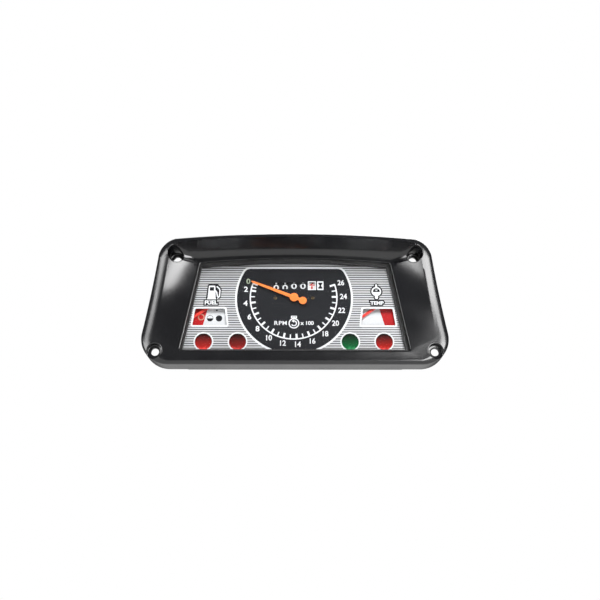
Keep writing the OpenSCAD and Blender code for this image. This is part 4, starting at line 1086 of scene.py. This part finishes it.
class PRINT_OT_build(bpy.types.Operator):
    """The dial's stripes, black zone, numerals, ticks, frames, pictograms and words"""
    bl_idname = "instrument.print"
    bl_label = "Dial print"

    def execute(self, context):
        finish_node("dial_plate", "dial_silver")
        self.sizes = settings("print_sizes")
        self.holes = dial_holes()
        self.inks = {"black": [], "white": [], "zero": []}
        self.zone()
        self.ticks()
        self.words()
        self.windows()
        self.lamp_rings()
        self.pump(GAUGES["fuel"].x)
        self.thermometer(GAUGES["temp"].x - 0.9, 6.7)
        self.bold_word("FUEL", GAUGES["fuel"].x + 0.8, -4.7, 4.2, 1.06)
        self.bold_word("TEMP", GAUGES["temp"].x - 0.6, -5.0, 3.7, 1.1)
        self.engine_sign(DIAL_X, -25.5)
        for colour, pieces in self.inks.items():
            piece = join(f"dial_{colour}_print", pieces)
            fit(piece, f"{colour}_ink", "root", "dial_print")
        return {"FINISHED"}

    def black(self, *loops, lift=0.0):
        self.inks["black"].append(flat_shape("print", loops, DIAL_FRONT, BLACK_LAYER + lift))

    def white(self, *loops, lift=0.0):
        self.inks["white"].append(flat_shape("print", loops, DIAL_FRONT, WHITE_LAYER + lift))

    def text(self, colour, words, x, z, height, weight=0.0, width=1.0):
        sunk = BLACK_LAYER / 2
        self.inks[colour].append(lettering(words, x, z, height, DIAL_FRONT - sunk,
                                           WHITE_LAYER - sunk, weight, width))

    def bold_word(self, words, x, z, height, width, weight=0.045, border=1.15):
        """White letters with a black surround"""
        self.inks["black"].append(lettering(words, x, z, height, DIAL_FRONT, BLACK_LAYER,
                                            weight, width, border))
        self.inks["white"].append(lettering(words, x, z, height, DIAL_FRONT, WHITE_LAYER,
                                            weight, width))

    def zone(self):
        """The black zone with its white outline, less the openings inside it"""
        s = self.sizes
        foot = settings("bezel_sizes").window_low - FRAME_REACH
        inner_corner, outer_corner, margin = 7, 8.5, 6
        inner = zone_loop(s.zone_r, s.zone_top, inner_corner, foot)
        outer = zone_loop(s.zone_r + s.outline_w, s.zone_top + s.outline_w, outer_corner, foot)
        clear = [loop for loop in self.holes
                 if math.dist(loop_middle(loop), (DIAL_X, 0)) < s.zone_r - margin]
        self.black(inner, *clear)
        self.white(outer, inner)

    def ticks(self):
        s = self.sizes
        start, end = print_angle(0), print_angle(s.top_value) + 1
        line = (arc(0, 0, s.tick_r, start, end, 110)
                + arc(0, 0, s.tick_r - s.tick_line, end, start, 110))
        place = DIAL_X + s.tick_aside, s.tick_lift
        self.white(on_place(line, *place), lift=0.01)
        for value in range(s.top_value + 1):
            long, wide = (5.0, 1.15) if value % 2 else (5.6, 1.9)
            a = print_angle(value)
            out, inn = s.tick_r - 0.4, s.tick_r - long
            half_out, half_in = (math.degrees(wide / 2 / r) for r in (out, inn))
            self.white(on_place([polar(inn, a + half_in), polar(out, a + half_out),
                                 polar(out, a - half_out), polar(inn, a - half_in)], *place))

    def words(self):
        s = self.sizes
        for value in range(0, s.top_value + 1, 2):
            x, z = polar(s.numeral_r + 0.5, print_angle(value), DIAL_X + s.numeral_aside,
                         s.numeral_lift)
            self.text("white" if value else "zero", str(value), x, z, s.numeral_h, 0.022,
                      1.08 if value < 10 else 0.93)
        line = -25.2
        for letter, x in zip("RPM", (-16.9, -13.0, -8.9)):
            self.text("white", letter, DIAL_X + x, line, 4.0, 0.018, 1.12)
        self.text("white", "x 100", DIAL_X + 12.5, line, 3.9, 0.025, 1.05)

    def windows(self):
        """Frames round the gauge windows and the tenths window"""
        wide, aside, near = 25, 60, 1
        border, corner = 1.7, 2.2
        for loop in self.holes:
            x0, z0, x1, z1 = extent(loop)
            cx, cz = loop_middle(loop)
            if x1 - x0 > wide and abs(cx - DIAL_X) > aside:
                top = [x for x, z in loop if z > z1 - 2]
                self.white(gauge_loop(cx, z1, z0, (max(top) - min(top)) / 2, (x1 - x0) / 2,
                                      border, corner), loop)
            if math.dist((cx, cz), (WHEELS[-1].x, WHEELS[-1].z)) < near:
                self.tenths_frame(x0, z0, x1, z1)

    def tenths_frame(self, x0, z0, x1, z1):
        """White border of the tenths window and the box with an hourglass beside it"""
        gap = 1.0
        self.white(box_loop(x0 - gap, z0 - gap, x1 + gap, z1 + gap, 0.4),
                   box_loop(x0 - SKIN, z0 - SKIN, x1 + SKIN, z1 + SKIN))
        cx, cz = x1 + 5.2, (z0 + z1) / 2
        corner = [(2.0, 3.1), (2.0, 2.0), (0.55, 0), (2.0, -2.0), (2.0, -3.1)]
        glass = [(-2.0, 3.1)] + corner + [(-u, v) for u, v in reversed(corner[1:])]
        self.white(box_loop(cx - 3.1, z0 - gap, cx + 3.1, z1 + gap, 0.6), on_place(glass, cx, cz))

    def lamp_rings(self):
        """A white ring round the opening of each lamp"""
        for p in (middle(node) for node in LAMP_NODES):
            opening = min(self.holes, key=lambda loop: math.dist(loop_middle(loop), (p.x, p.z)))
            self.white(ring_loop(p.x, p.z, LAMP_RING_R, 72), opening,
                       lift=RING_LAYER - WHITE_LAYER)

    def pump(self, x):
        """Fuel pump: a body on a foot, with a hose and nozzle at its right"""
        body = ([(-2.9, -0.8), (4.9, -0.8)] + arc(3.3, 11.4, 1.1, 0, 90, 5)
                + arc(-0.9, 11.4, 1.1, 90, 180, 5))
        window = box_loop(-0.9, 7.3, 3.1, 10.9, 0.3)
        surround = ([(-4.6, -2.4), (6.4, -2.4), (6.4, 2.0)] + arc(8.2, 0.9, 1.9, 240, 360, 6)
                    + [(10.5, 8.8), (10.0, 10.2), (7.2, 13.6), (5.0, 14.0)]
                    + arc(-1.2, 12.2, 1.9, 90, 180, 5))
        hose = [(4.4, 7.6), (5.8, 5.6), (6.6, 1.6), (7.6, 0.6), (8.6, 1.6), (8.9, 7.6),
                (8.3, 9.2), (5.6, 11.8)]
        self.black(on_place(surround, x, 0))
        self.white(on_place(body, x, 0), on_place(window, x, 0))
        self.white(on_place(box_loop(-3.5, -1.5, 5.4, -0.6), x, 0), lift=0.01)
        self.white(on_place(track(hose, 1.25), x, 0), lift=0.02)

    def thermometer(self, x, z):
        """A ring with a thermometer standing through it"""
        self.black(ring_loop(x, z, 6.0, 48))
        self.black(box_loop(x - 2.8, z - 8.4, x + 2.8, z + 3, 2.0), lift=-0.01)
        self.black(box_loop(x - 2.2, z, x + 2.2, z + 8.4, 2.0), lift=-0.005)
        self.white(ring_loop(x, z, 4.7, 48), ring_loop(x, z, 3.3, 48))
        self.white(box_loop(x - 1.5, z - 7.6, x + 1.5, z - 3.9, 1.3), lift=0.02)
        self.white(box_loop(x - 1.0, z + 4.0, x + 1.0, z + 7.4, 0.95), lift=0.01)
        self.white(arc(x, z + 0.3, 3.4, 195, 345, 16), lift=-0.01)
        for turn in (60, 90, 120):
            self.white(track([polar(0.6, turn, x, z), polar(2.7, turn, x, z)], 0.35), lift=-0.02)

    def engine_sign(self, x, z):
        """A turning engine: a ring with a cap on top and an arrow turning inside it"""
        self.white(ring_loop(x, z, 5.2, 48), ring_loop(x, z, 4.1, 48))
        self.white(box_loop(x - 2.9, z + 5.0, x + 2.9, z + 7.5, 0.4),
                   box_loop(x - 1.8, z + 5.9, x - 0.4, z + 6.7),
                   box_loop(x + 0.4, z + 5.9, x + 1.8, z + 6.7), lift=0.01)
        self.white(arc(x, z, 2.9, -150, 90, 26) + arc(x, z, 1.9, 90, -150, 26))
        self.white([(x - 2.3, z + 2.3), (x + 0.2, z + 4.0), (x + 0.2, z + 0.6)], lift=0.01)


# Pointers

def swept_needle(name, sections, y):
    """A tapering bar along X. sections are (x, half width, height) from a flat back at y"""
    shape = ((-1, 0), (-1, 0.45), (-0.55, 0.85), (0, 1), (0.55, 0.85), (1, 0.45), (1, 0))
    return lofted(name, [[(x, y - tall * rise, half * across) for across, rise in shape]
                         for x, half, tall in sections])


def turned(obj, centre, degrees):
    """Turns a piece made along +X to a direction on the dial, about centre"""
    obj.data.transform(Matrix.Translation(Vector((centre.x, 0, centre.z)) * MM)
                       @ Matrix.Rotation(-math.radians(degrees), 4, "Y"))
    return obj


def farthest(node, centre):
    """A pointer's farthest point from its axis, in the dial's plane"""
    return max((Vector((v.co.x / MM - centre.x, v.co.z / MM - centre.z))
                for v in NODES[node].data.vertices), key=lambda p: p.length)


class POINTERS_OT_build(bpy.types.Operator):
    """The orange tachometer pointer with its hub and counterweight"""
    bl_idname = "instrument.pointers"
    bl_label = "Pointers"

    def execute(self, context):
        front, back = low("tach_pointer").y, high("tach_pointer").y
        tip = farthest("tach_pointer", SPINDLE)
        turn, length = math.degrees(math.atan2(tip.y, tip.x)), round(tip.length, 1)
        sections = [(-8.9, 1.3, 0.75), (0, 1.65, 0.85), (length * 0.5, 1.35, 0.8),
                    (length - 2.2, 0.95, 0.7), (length - 0.5, 0.45, 0.5),
                    (length - 0.05, 0.12, 0.3)]
        needle = turned(swept_needle("needle", sections, back - 0.2), SPINDLE, turn)
        weight = lathe("weight", [(back - SKIN, 0.1), (back - SKIN, 3.7), (front + 0.5, 3.72),
                                  (front + 0.36, 3.5), (front + 0.32, 3.2), (front + 0.32, 0.1)],
                       steps=48)
        weight.data.transform(Matrix.Translation((-9.1 * MM, 0, 0)))
        turned(weight, SPINDLE, turn)
        hub = lathe("hub", [(back - 0.01, 0.1), (back - 0.01, 4.17), (front + 0.3, 4.17),
                            (front + 0.1, 4.0), (front + SKIN, 3.7), (front + SKIN, 1.25),
                            (front + 0.3, 1.05), (front + 0.3, 0.1)], SPINDLE.x, SPINDLE.z)
        pointer = smooth(join("tach_needle_piece", [needle, weight, hub]), 30)
        fit(pointer, "needle_orange", "tach_needle", "needle_orange", "tach_pointer")
        finish_node("pointer_spindle", "bright_steel")
        finish_node("drag_cup", "spun_aluminium")
        return {"FINISHED"}


# Warning lamps

class LAMPS_OT_build(bpy.types.Operator):
    """Coloured jewels with a prismatic face, lamp holders and bulbs"""
    bl_idname = "instrument.lamps"
    bl_label = "Lamps"

    def execute(self, context):
        finishes = ["red_jewel", "dark_jewel", "green_jewel", "red_jewel"]
        slots = ["red_lens", "dark_red_lens", "green_lens", "red_lens"]
        for node, finish, slot in zip(LAMP_NODES, finishes, slots):
            fit(self.jewel(node), finish, "root", slot, node)
        for node in HOLDER_NODES:
            fit(self.holder(node), "holder_plastic", "root", "black_plastic", node)
        finish_node("lamp_bulbs", "bulb_glass")
        return {"FINISHED"}

    def jewel(self, node, pitch=1.15, steps=34, tall=0.34, rim=1.3, border=0.4):
        """A disc whose front is a field of small pyramids inside a plain rim"""
        a, b = low(node), high(node)
        centre, r = middle(node), (b.x - a.x) / 2 - SKIN
        bm = bmesh.new()
        grid = []
        for i in range(steps + 1):
            row = []
            for k in range(steps + 1):
                u, v = (i - steps / 2) * pitch / 2, (k - steps / 2) * pitch / 2
                far = math.hypot(u, v)
                peak = tall if i % 2 and k % 2 and far <= r - rim else 0.0
                if far > r - rim:
                    pull = min(1, (r - border) / far)
                    u, v = u * pull, v * pull
                row.append(bm.verts.new(Vector((centre.x + u, a.y + 0.42 - peak,
                                                centre.z + v)) * MM))
            grid.append(row)
        for i in range(steps):
            for k in range(steps):
                bm.faces.new((grid[i][k], grid[i][k + 1], grid[i + 1][k + 1], grid[i + 1][k]))
        bmesh.ops.dissolve_degenerate(bm, edges=bm.edges, dist=1e-7)
        edge = [e for e in bm.edges if len(e.link_faces) == 1]
        for made in bmesh.ops.extrude_edge_only(bm, edges=edge)["geom"]:
            if isinstance(made, bmesh.types.BMVert):
                made.co.y = (b.y - SKIN) * MM
        bmesh.ops.holes_fill(bm, edges=[e for e in bm.edges if len(e.link_faces) == 1])
        return from_bmesh(node + "_jewel", bm)

    def holder(self, node):
        """A twist-in holder with a chamfered flange and a grip"""
        a, b, centre = low(node), high(node), middle(node)
        flange = (b.x - a.x) / 2
        face = FOIL_BACK
        bore, barrel = 4.25, 5.95
        body = lathe("body", [(a.y, bore), (a.y, barrel - 0.15), (a.y + 0.2, barrel),
                              (face + 0.05, barrel), (face + 0.05, flange - 0.3),
                              (face + 0.3, flange - 0.05), (face + 1.5, flange - 0.05),
                              (face + 1.75, flange - 0.3), (face + 1.75, 5.2), (face + 6.6, 5.1),
                              (face + 6.95, 4.8), (face + 6.95, 0.1), (a.y + 6.1, 0.1),
                              (a.y + 6.1, bore), (a.y, bore)], centre.x, centre.z, 48)
        half, thin = flange - 1.05, 0.85
        grip = box_piece("grip", (centre.x - thin, face + 1.2, centre.z - half),
                         (centre.x + thin, b.y - SKIN, centre.z + half), 0.35)
        return smooth(join(node + "_piece", [body, grip]))


# Small gauges

class GAUGES_OT_build(bpy.types.Operator):
    """Printed scales, pointers and movements of the fuel and temperature gauges"""
    bl_idname = "instrument.gauges"
    bl_label = "Small gauges"

    def execute(self, context):
        for side, pivot in GAUGES.items():
            finish_node(f"{side}_scale_plate", "pale_ink")
            finish_node(f"{side}_meter_base", "natural_plastic")
            finish_node(f"{side}_bimetal", "copper")
            self.scale(side, pivot.x)
            self.needle(side, pivot)
            self.studs(side)
        return {"FINISHED"}

    def scale(self, side, x):
        """The red field, and on the fuel scale a ring, a half-filled ring and two spots"""
        a, b = low(f"{side}_scale_plate"), high(f"{side}_scale_plate")
        x0, x1 = a.x + 0.1 - x, b.x - 0.1 - x
        z0, z1 = max(a.z + 0.1, -29), min(b.z - 0.1, -8)
        red = {"fuel": [(x0 + 1.5, z1), (-2.2, z1), (-7.4, z0), (x0 + 0.2, z0)],
               "temp": [(1.3, z1), (x1 - 1.5, z1), (x1 - 0.2, z0), (7.2, z0)]}[side]
        marks = [([red], "scale_red", 0.03)]
        if side == "fuel":
            # The empty ring is white print dimmed to tan: painted shade
            marks += [([ring_loop(-8.6, -18.3, r, 40) for r in (3.2, 2.3)], "scale_tan", 0.04),
                      ([ring_loop(-0.1, -19.5, r, 40) for r in (3.1, 2.7)], "black_ink", 0.04),
                      ([arc(-0.1, -19.5, 3.0, 180, 360, 24)], "black_ink", 0.05),
                      ([ring_loop(8.5, -19.6, 3.1, 40)], "black_ink", 0.04),
                      ([ring_loop(6.2, -11.4, 0.9, 40)], "black_ink", 0.04)]
        pieces = []
        for loops, finish, thick in marks:
            mark = flat_shape("scale_mark", [on_place(loop, x, 0) for loop in loops], a.y, thick)
            pieces.append(wear_material(mark, finish))
        fit(join(f"{side}_scale_print", pieces), None, "root", "scale_print")

    def needle(self, side, pivot, rest=215.5):
        """A flat blade on a hub, turned to where it stands at rest"""
        node = f"{side}_pointer"
        length = farthest(node, pivot).length
        a, b = low(node), high(node)
        front = DIAL_BACK + 1
        back = front + 0.58
        sections = [(-3.4, 1.0, 0.5), (0, 1.6, 0.55), (length - 1.2, 1.15, 0.5),
                    (length - 0.3, 1.05, 0.35)]
        blade = turned(swept_needle("blade", sections, back), pivot, rest)
        pin = 0.55
        hub = lathe("hub", [(b.y - SKIN, 0.05), (b.y - SKIN, pin), (back, pin), (back, 2.35),
                            (front + 0.15, 2.35), (front + SKIN, 2.1), (front + SKIN, 0.58),
                            (a.y + 0.1, pin), (a.y + SKIN, 0.4), (a.y + SKIN, 0.05)],
                    pivot.x, pivot.z, 40)
        pointer = smooth(join(f"{side}_pointer_piece", [blade, hub]), 30)
        fit(pointer, "pointer_red", f"{side}_needle", "needle_orange", node)

    def studs(self, side):
        """Threaded studs with washers and hexagon nuts"""
        node = f"{side}_terminals"
        face, bore, washer_r = FOIL_BACK, 2.0, 4.55
        washer = [(face, bore), (face, washer_r - 0.25), (face + 0.1, washer_r),
                  (face + 0.7, washer_r), (face + 0.8, washer_r - 0.25), (face + 0.8, bore),
                  (face, bore)]
        pieces = []
        for a, b in solid_boxes(node):
            x, z = (a.x + b.x) / 2, (a.z + b.z) / 2
            pieces += [threaded("stud", x, z, 1.98, a.y + SKIN, b.y - SKIN, 0.7, 0.25, 24),
                       lathe("washer", washer, x, z, 32),
                       hex_nut("nut", x, z, 3.9, face + 0.85, face + 3.75, 1.9)]
        studs = smooth(join(f"{side}_stud_piece", pieces))
        fit(studs, "brass", "root", "brass", node)


# Hour meter

class HOURS_OT_build(bpy.types.Operator):
    """Five number wheels with digits round their rims, and their shafts and pinions"""
    bl_idname = "instrument.hours"
    bl_label = "Hour meter"

    def execute(self, context):
        # Which digit each wheel shows, and how many degrees off centre it stands
        shown = (0, 0, 0, 0, 2)
        rolled = (-9, -9, 0, 0, 19)
        tall, raised, weight, width, turn_each = 5.6, 0.05, 0.02, 1.5, 36
        for n, place in enumerate(WHEELS):
            finish, digit_ink = (("drum_white", "red_ink") if n == len(WHEELS) - 1
                                 else ("drum_black", "white_ink"))
            finish_node(f"hour_wheel_{n + 1}", finish)
            digits = []
            for digit in range(10):
                word = lettering(str(digit), 0, 0, tall, 0, raised, weight, width)
                turn = (digit - shown[n]) * turn_each + rolled[n]
                digits.append(self.bent(word, place, turn))
            fit(join(f"digits_{n + 1}", digits), digit_ink, f"number_wheel_{n + 1}", finish)
        for n in range(1, 5):
            finish_node(f"carry_pinion_{n}", "natural_plastic")
        finish_node("counter_shaft", "bright_steel")
        finish_node("pinion_shaft", "bright_steel")
        return {"FINISHED"}

    def bent(self, word, place, degrees, r=10.0, strip=0.45, strips=6):
        """Wraps flat lettering round a wheel's rim"""
        bm = bmesh.new()
        bm.from_mesh(word.data)
        for k in range(-strips, strips + 1):
            bmesh.ops.bisect_plane(bm, geom=bm.verts[:] + bm.edges[:] + bm.faces[:], dist=1e-9,
                                   plane_co=(0, 0, k * strip * MM), plane_no=(0, 0, 1))
        for vert in bm.verts:
            away = r + 0.01 - vert.co.y / MM
            turn = vert.co.z / MM / r + math.radians(degrees)
            vert.co = Vector((place.x + vert.co.x / MM, place.y - away * math.cos(turn),
                              place.z + away * math.sin(turn))) * MM
        bm.to_mesh(word.data)
        bm.free()
        word.data.update()
        return word


# Screws

def repeat_group(most=3.1):
    """A node tree that puts one piece on every point, each turned about Y at random"""
    tree = bpy.data.node_groups.new("piece_on_points", "GeometryNodeTree")
    for name, way, kind in (("Geometry", "INPUT", "Geometry"), ("Piece", "INPUT", "Object"),
                            ("Finish", "INPUT", "Material"), ("Turn", "INPUT", "Float"),
                            ("Seed", "INPUT", "Int"), ("Geometry", "OUTPUT", "Geometry")):
        socket = tree.interface.new_socket(name, in_out=way, socket_type="NodeSocket" + kind)
        if name == "Turn":
            socket.default_value = most
    source, info, chance, spin, place, real, finish, out = (
        tree.nodes.new(kind) for kind in (
            "NodeGroupInput", "GeometryNodeObjectInfo", "FunctionNodeRandomValue",
            "ShaderNodeCombineXYZ", "GeometryNodeInstanceOnPoints",
            "GeometryNodeRealizeInstances", "GeometryNodeSetMaterial", "NodeGroupOutput"))
    chance.data_type = "FLOAT"
    for a, out_name, b, into in (
            (source, "Geometry", place, "Points"), (source, "Piece", info, "Object"),
            (info, "Geometry", place, "Instance"), (source, "Turn", chance, 3),
            (source, "Seed", chance, "Seed"), (chance, 1, spin, "Y"),
            (spin, "Vector", place, "Rotation"), (place, "Instances", real, "Geometry"),
            (real, "Geometry", finish, "Geometry"), (source, "Finish", finish, "Material"),
            (finish, "Geometry", out, "Geometry")):
        link(tree, a, b, into, out_name)
    return tree


def repeated(name, piece, points, finish, seed=3):
    """One mesh with a piece at every point, made with Geometry Nodes"""
    tree = bpy.data.node_groups.get("piece_on_points") or repeat_group()
    carrier = mesh_piece(name, points, [])
    modifier = carrier.modifiers.new("repeat", "NODES")
    modifier.node_group = tree
    sockets = {item.name: item.identifier for item in tree.interface.items_tree
               if item.item_type == "SOCKET" and item.in_out == "INPUT"}
    for key, value in (("Piece", piece), ("Finish", material(finish)), ("Seed", seed)):
        modifier[sockets[key]] = value
    carrier.update_tag()
    result = evaluated(carrier)
    bpy.data.objects.remove(piece)
    return result


def cross_screw(name, shank_r, length, head_r, head_t, pitch):
    """A pan-head screw along Y, its head's back face at y = 0 and its shank towards -Y"""
    shank = threaded(name + "_shank", 0, 0, shank_r - SKIN, SKIN - length, 0.3, pitch, 0.28, 28, 6)
    side, dome = head_t * 0.45, head_t * 0.55 - SKIN
    profile = [(SKIN, 0.1), (SKIN, head_r - 0.05), (side, head_r - 0.1)]
    for k in range(1, 7):
        a = math.pi / 2 * k / 7
        profile.append((side + dome * math.sin(a), (head_r - 0.1) * math.cos(a) ** 0.7))
    profile.append((head_t - SKIN, 0.1))
    head = lathe(name + "_head", profile, steps=40)
    arm, half, floor, above = head_r * 0.52, 0.42, head_t - 1.15, head_t + 1
    head = cut(head, [box_piece("slot", (-u, floor, -v), (u, above, v))
                      for u, v in ((arm, half), (half, arm))])
    return smooth(join(name, [shank, head]), 30)


class SCREWS_OT_build(bpy.types.Operator):
    """Screws of the dial, the rear case and the gear can"""
    bl_idname = "instrument.screws"
    bl_label = "Screws"

    def execute(self, context):
        for node, finish, slot, head_t, shank_r, pitch, behind in (
                ("case_screws", "zinc_steel", "plated_steel", 2.4, 1.9, 0.7, True),
                ("can_screws", "zinc_steel", "plated_steel", 2.2, 1.6, 0.7, True),
                ("dial_screws", "dark_steel", "dark_screw", 1.1, 1.0, 0.45, False)):
            boxes = solid_boxes(node)
            a, b = boxes[0]
            screw = cross_screw(node + "_one", shank_r, b.y - a.y - head_t, (b.x - a.x) / 2,
                                head_t, pitch)
            if not behind:
                screw.data.transform(Matrix.Rotation(math.pi, 4, "X"))
            seat = b.y - head_t if behind else a.y + head_t
            points = [((p.x + q.x) / 2, seat, (p.z + q.z) / 2) for p, q in boxes]
            piece = smooth(repeated(node + "_piece", screw, points, finish), 30)
            fit(piece, None, "root", slot, node)
        return {"FINISHED"}


# Rear case and circuit

class CASE_OT_build(bpy.types.Operator):
    """The rear case with its ribs, the flexible circuit and its copper tracks"""
    bl_idname = "instrument.case"
    bl_label = "Rear case"

    def execute(self, context):
        finish_node("rear_case", "case_plastic")
        finish_node("circuit_foil", "amber_film")
        self.tracks()
        reach, wide, backs = (3.95, 3.4), 1.4, (16, 34.5)
        ribs = [flat_shape("rib", [window_loop(grow) for grow in reach], y, wide)
                for y in backs]
        fit(smooth(join("case_ribs", ribs), 30), "case_plastic", "root", "black_plastic")
        return {"FINISHED"}

    def tracks(self, wide=1.7, ring_r=8.6):
        """Copper from the wiring socket's pins to the lamp holders"""
        socket = middle("wiring_socket")
        start = low("wiring_socket").z + 2
        lamps = [middle(node) for node in HOLDER_NODES]
        pins = [socket.x + (n - 3) * 4 for n in range(7)]
        loops = []
        for x, lamp, level in zip(pins, lamps, (-17, -20.5, -24, -27.5)):
            end = (lamp.x, lamp.z + 7.2)
            path = [(x, start), (x, level + 2), (x + 2, level), (lamp.x - 2, level),
                    (lamp.x, level - 2), end]
            if lamp is lamps[0]:
                path = path[:2] + [(x + 1, level + 1), end]
            loops.append(track(path, wide))
        left = lamps[4]
        loops.append(track([(pins[5], start), (pins[5], 9), (left.x - 8, 9),
                            (left.x, left.z - 8)], wide))
        loops += [arc(lamp.x, lamp.z, ring_r, 20, 340, 40)
                  + arc(lamp.x, lamp.z, ring_r - wide, 340, 20, 40) for lamp in lamps]
        pieces = [flat_shape("track", [loop], FOIL_BACK + 0.05, 0.05 + 0.001 * k)
                  for k, loop in enumerate(loops)]
        fit(join("copper_tracks", pieces), "copper", "root", "circuit_film")


class CONNECTORS_OT_build(bpy.types.Operator):
    """The wiring socket with its blades, and the voltage stabiliser"""
    bl_idname = "instrument.connectors"
    bl_label = "Connectors"

    def execute(self, context):
        finish_node("wiring_socket", "white_plastic")
        skin = Vector((SKIN, SKIN, SKIN))
        blades = [box_piece("blade", p + skin, q - skin, 0.3)
                  for p, q in solid_boxes("wiring_pins")]
        fit(join("socket_blades", blades), "brass", "root", "brass", "wiring_pins")
        self.stabiliser()
        return {"FINISHED"}

    def stabiliser(self):
        """A small can on a riveted foot, with two tabs"""
        a, b = low("voltage_stabiliser"), high("voltage_stabiliser")
        cx, cz = (a.x + b.x) / 2, (a.z + b.z) / 2
        half = 10.95
        pieces = [box_piece("can", (cx - half, a.y + 0.05, a.z + 0.05),
                            (cx + half, a.y + 9.98, b.z - 0.05), 1.3, 5),
                  box_piece("foot", (a.x + 0.05, a.y + SKIN, a.z + 2),
                            (b.x - 0.05, a.y + 0.98, a.z + 9.9), 0.3)]
        pieces += [box_piece("tab", (x - 0.38, a.y + 9.5, cz - 2.95),
                             (x + 0.38, b.y - SKIN, cz + 2.95), 0.25) for x in (cx - 6, cx + 6)]
        rivet = [(a.y + 0.9, 0.1), (a.y + 0.9, 1.3), (a.y + 1.5, 1.1), (a.y + 1.8, 0.6),
                 (a.y + 1.8, 0.1)]
        pieces += [lathe("rivet", rivet, x, a.z + 6, 24) for x in (a.x + 2, b.x - 2)]
        fit(smooth(join("stabiliser_piece", pieces)), "can_steel", "root", "steel_pressing",
            "voltage_stabiliser")


class DRIVE_OT_build(bpy.types.Operator):
    """The threaded drive socket, the gear can and the movement behind the dial"""
    bl_idname = "instrument.drive"
    bl_label = "Drive and movement"

    def execute(self, context):
        self.socket()
        for node, finish in (("mechanism_can", "can_steel"), ("mechanism_frame", "casting"),
                             ("bearing_bridge", "brass"), ("flux_ring", "can_steel"),
                             ("hairspring", "copper"), ("drive_spindle", "bright_steel"),
                             ("magnet", "magnet_alloy"), ("layshaft_1", "brass"),
                             ("layshaft_2", "brass")):
            finish_node(node, finish)
        return {"FINISHED"}

    def socket(self):
        """A threaded barrel with a cable bore, on a round flange"""
        a, b = low("drive_socket"), high("drive_socket")
        flange, shaft_r, seat_r = (b.x - a.x) / 2 - SKIN, 3.05, 7.5
        base, front = a.y + SKIN, a.y + 3
        thread = threaded("thread", DIAL_X, 0, 11.08, front - 0.3, b.y - SKIN, 1.41, 0.85, 72, 10)
        bore = lathe("bore", [(b.y - 10, 0.1), (b.y - 10, seat_r), (b.y + 1, seat_r),
                              (b.y + 1, 0.1)], DIAL_X, 0, 72)
        deep = lathe("deep", [(a.y - 1, 0.1), (a.y - 1, shaft_r), (b.y - 9, shaft_r),
                              (b.y - 9, 0.1)], DIAL_X, 0, 48)
        rim = lathe("rim", [(base, shaft_r), (base, flange - 0.3), (a.y + 0.3, flange),
                            (front - 0.5, flange), (front - SKIN, flange - 0.5),
                            (front - SKIN, 10.5), (front - 0.3, shaft_r), (base, shaft_r)],
                    DIAL_X, 0, 72)
        piece = smooth(join("drive_socket_piece", [cut(thread, [bore, deep]), rim]))
        fit(piece, "brass", "root", "brass", "drive_socket")


# Panel and registration

OPERATORS = (STAGE_OT_build, BEZEL_OT_build, WINDOW_OT_build, PRINT_OT_build, POINTERS_OT_build,
             LAMPS_OT_build, GAUGES_OT_build, HOURS_OT_build, SCREWS_OT_build, CASE_OT_build,
             CONNECTORS_OT_build, DRIVE_OT_build)


class INSTRUMENT_PT_panel(bpy.types.Panel):
    """Sizes, colours and the steps that build the instrument panel"""
    bl_idname = "INSTRUMENT_PT_panel"
    bl_label = "Instrument panel"
    bl_space_type = "VIEW_3D"
    bl_region_type = "UI"
    bl_category = "Instrument"

    def draw(self, context):
        for name, group in GROUPS.items():
            box = self.layout.box()
            box.label(text=name.replace("_", " ").capitalize())
            for key in group.__annotations__:
                box.prop(getattr(context.scene, name), key)
        for operator in OPERATORS:
            self.layout.operator(operator.bl_idname)


def register():
    for name, group in GROUPS.items():
        bpy.utils.register_class(group)
        setattr(bpy.types.Scene, name, PointerProperty(type=group))
    for operator in OPERATORS:
        bpy.utils.register_class(operator)
    bpy.utils.register_class(INSTRUMENT_PT_panel)


def unregister():
    bpy.utils.unregister_class(INSTRUMENT_PT_panel)
    for operator in reversed(OPERATORS):
        bpy.utils.unregister_class(operator)
    for name, group in reversed(GROUPS.items()):
        delattr(bpy.types.Scene, name)
        bpy.utils.unregister_class(group)


def main():
    register()
    steps = bpy.ops.instrument
    for step in (steps.stage, steps.bezel, steps.window, steps.print, steps.pointers, steps.lamps,
                 steps.gauges, steps.hours, steps.screws, steps.case, steps.connectors,
                 steps.drive):
        step()


if __name__ == "__main__":
    main()
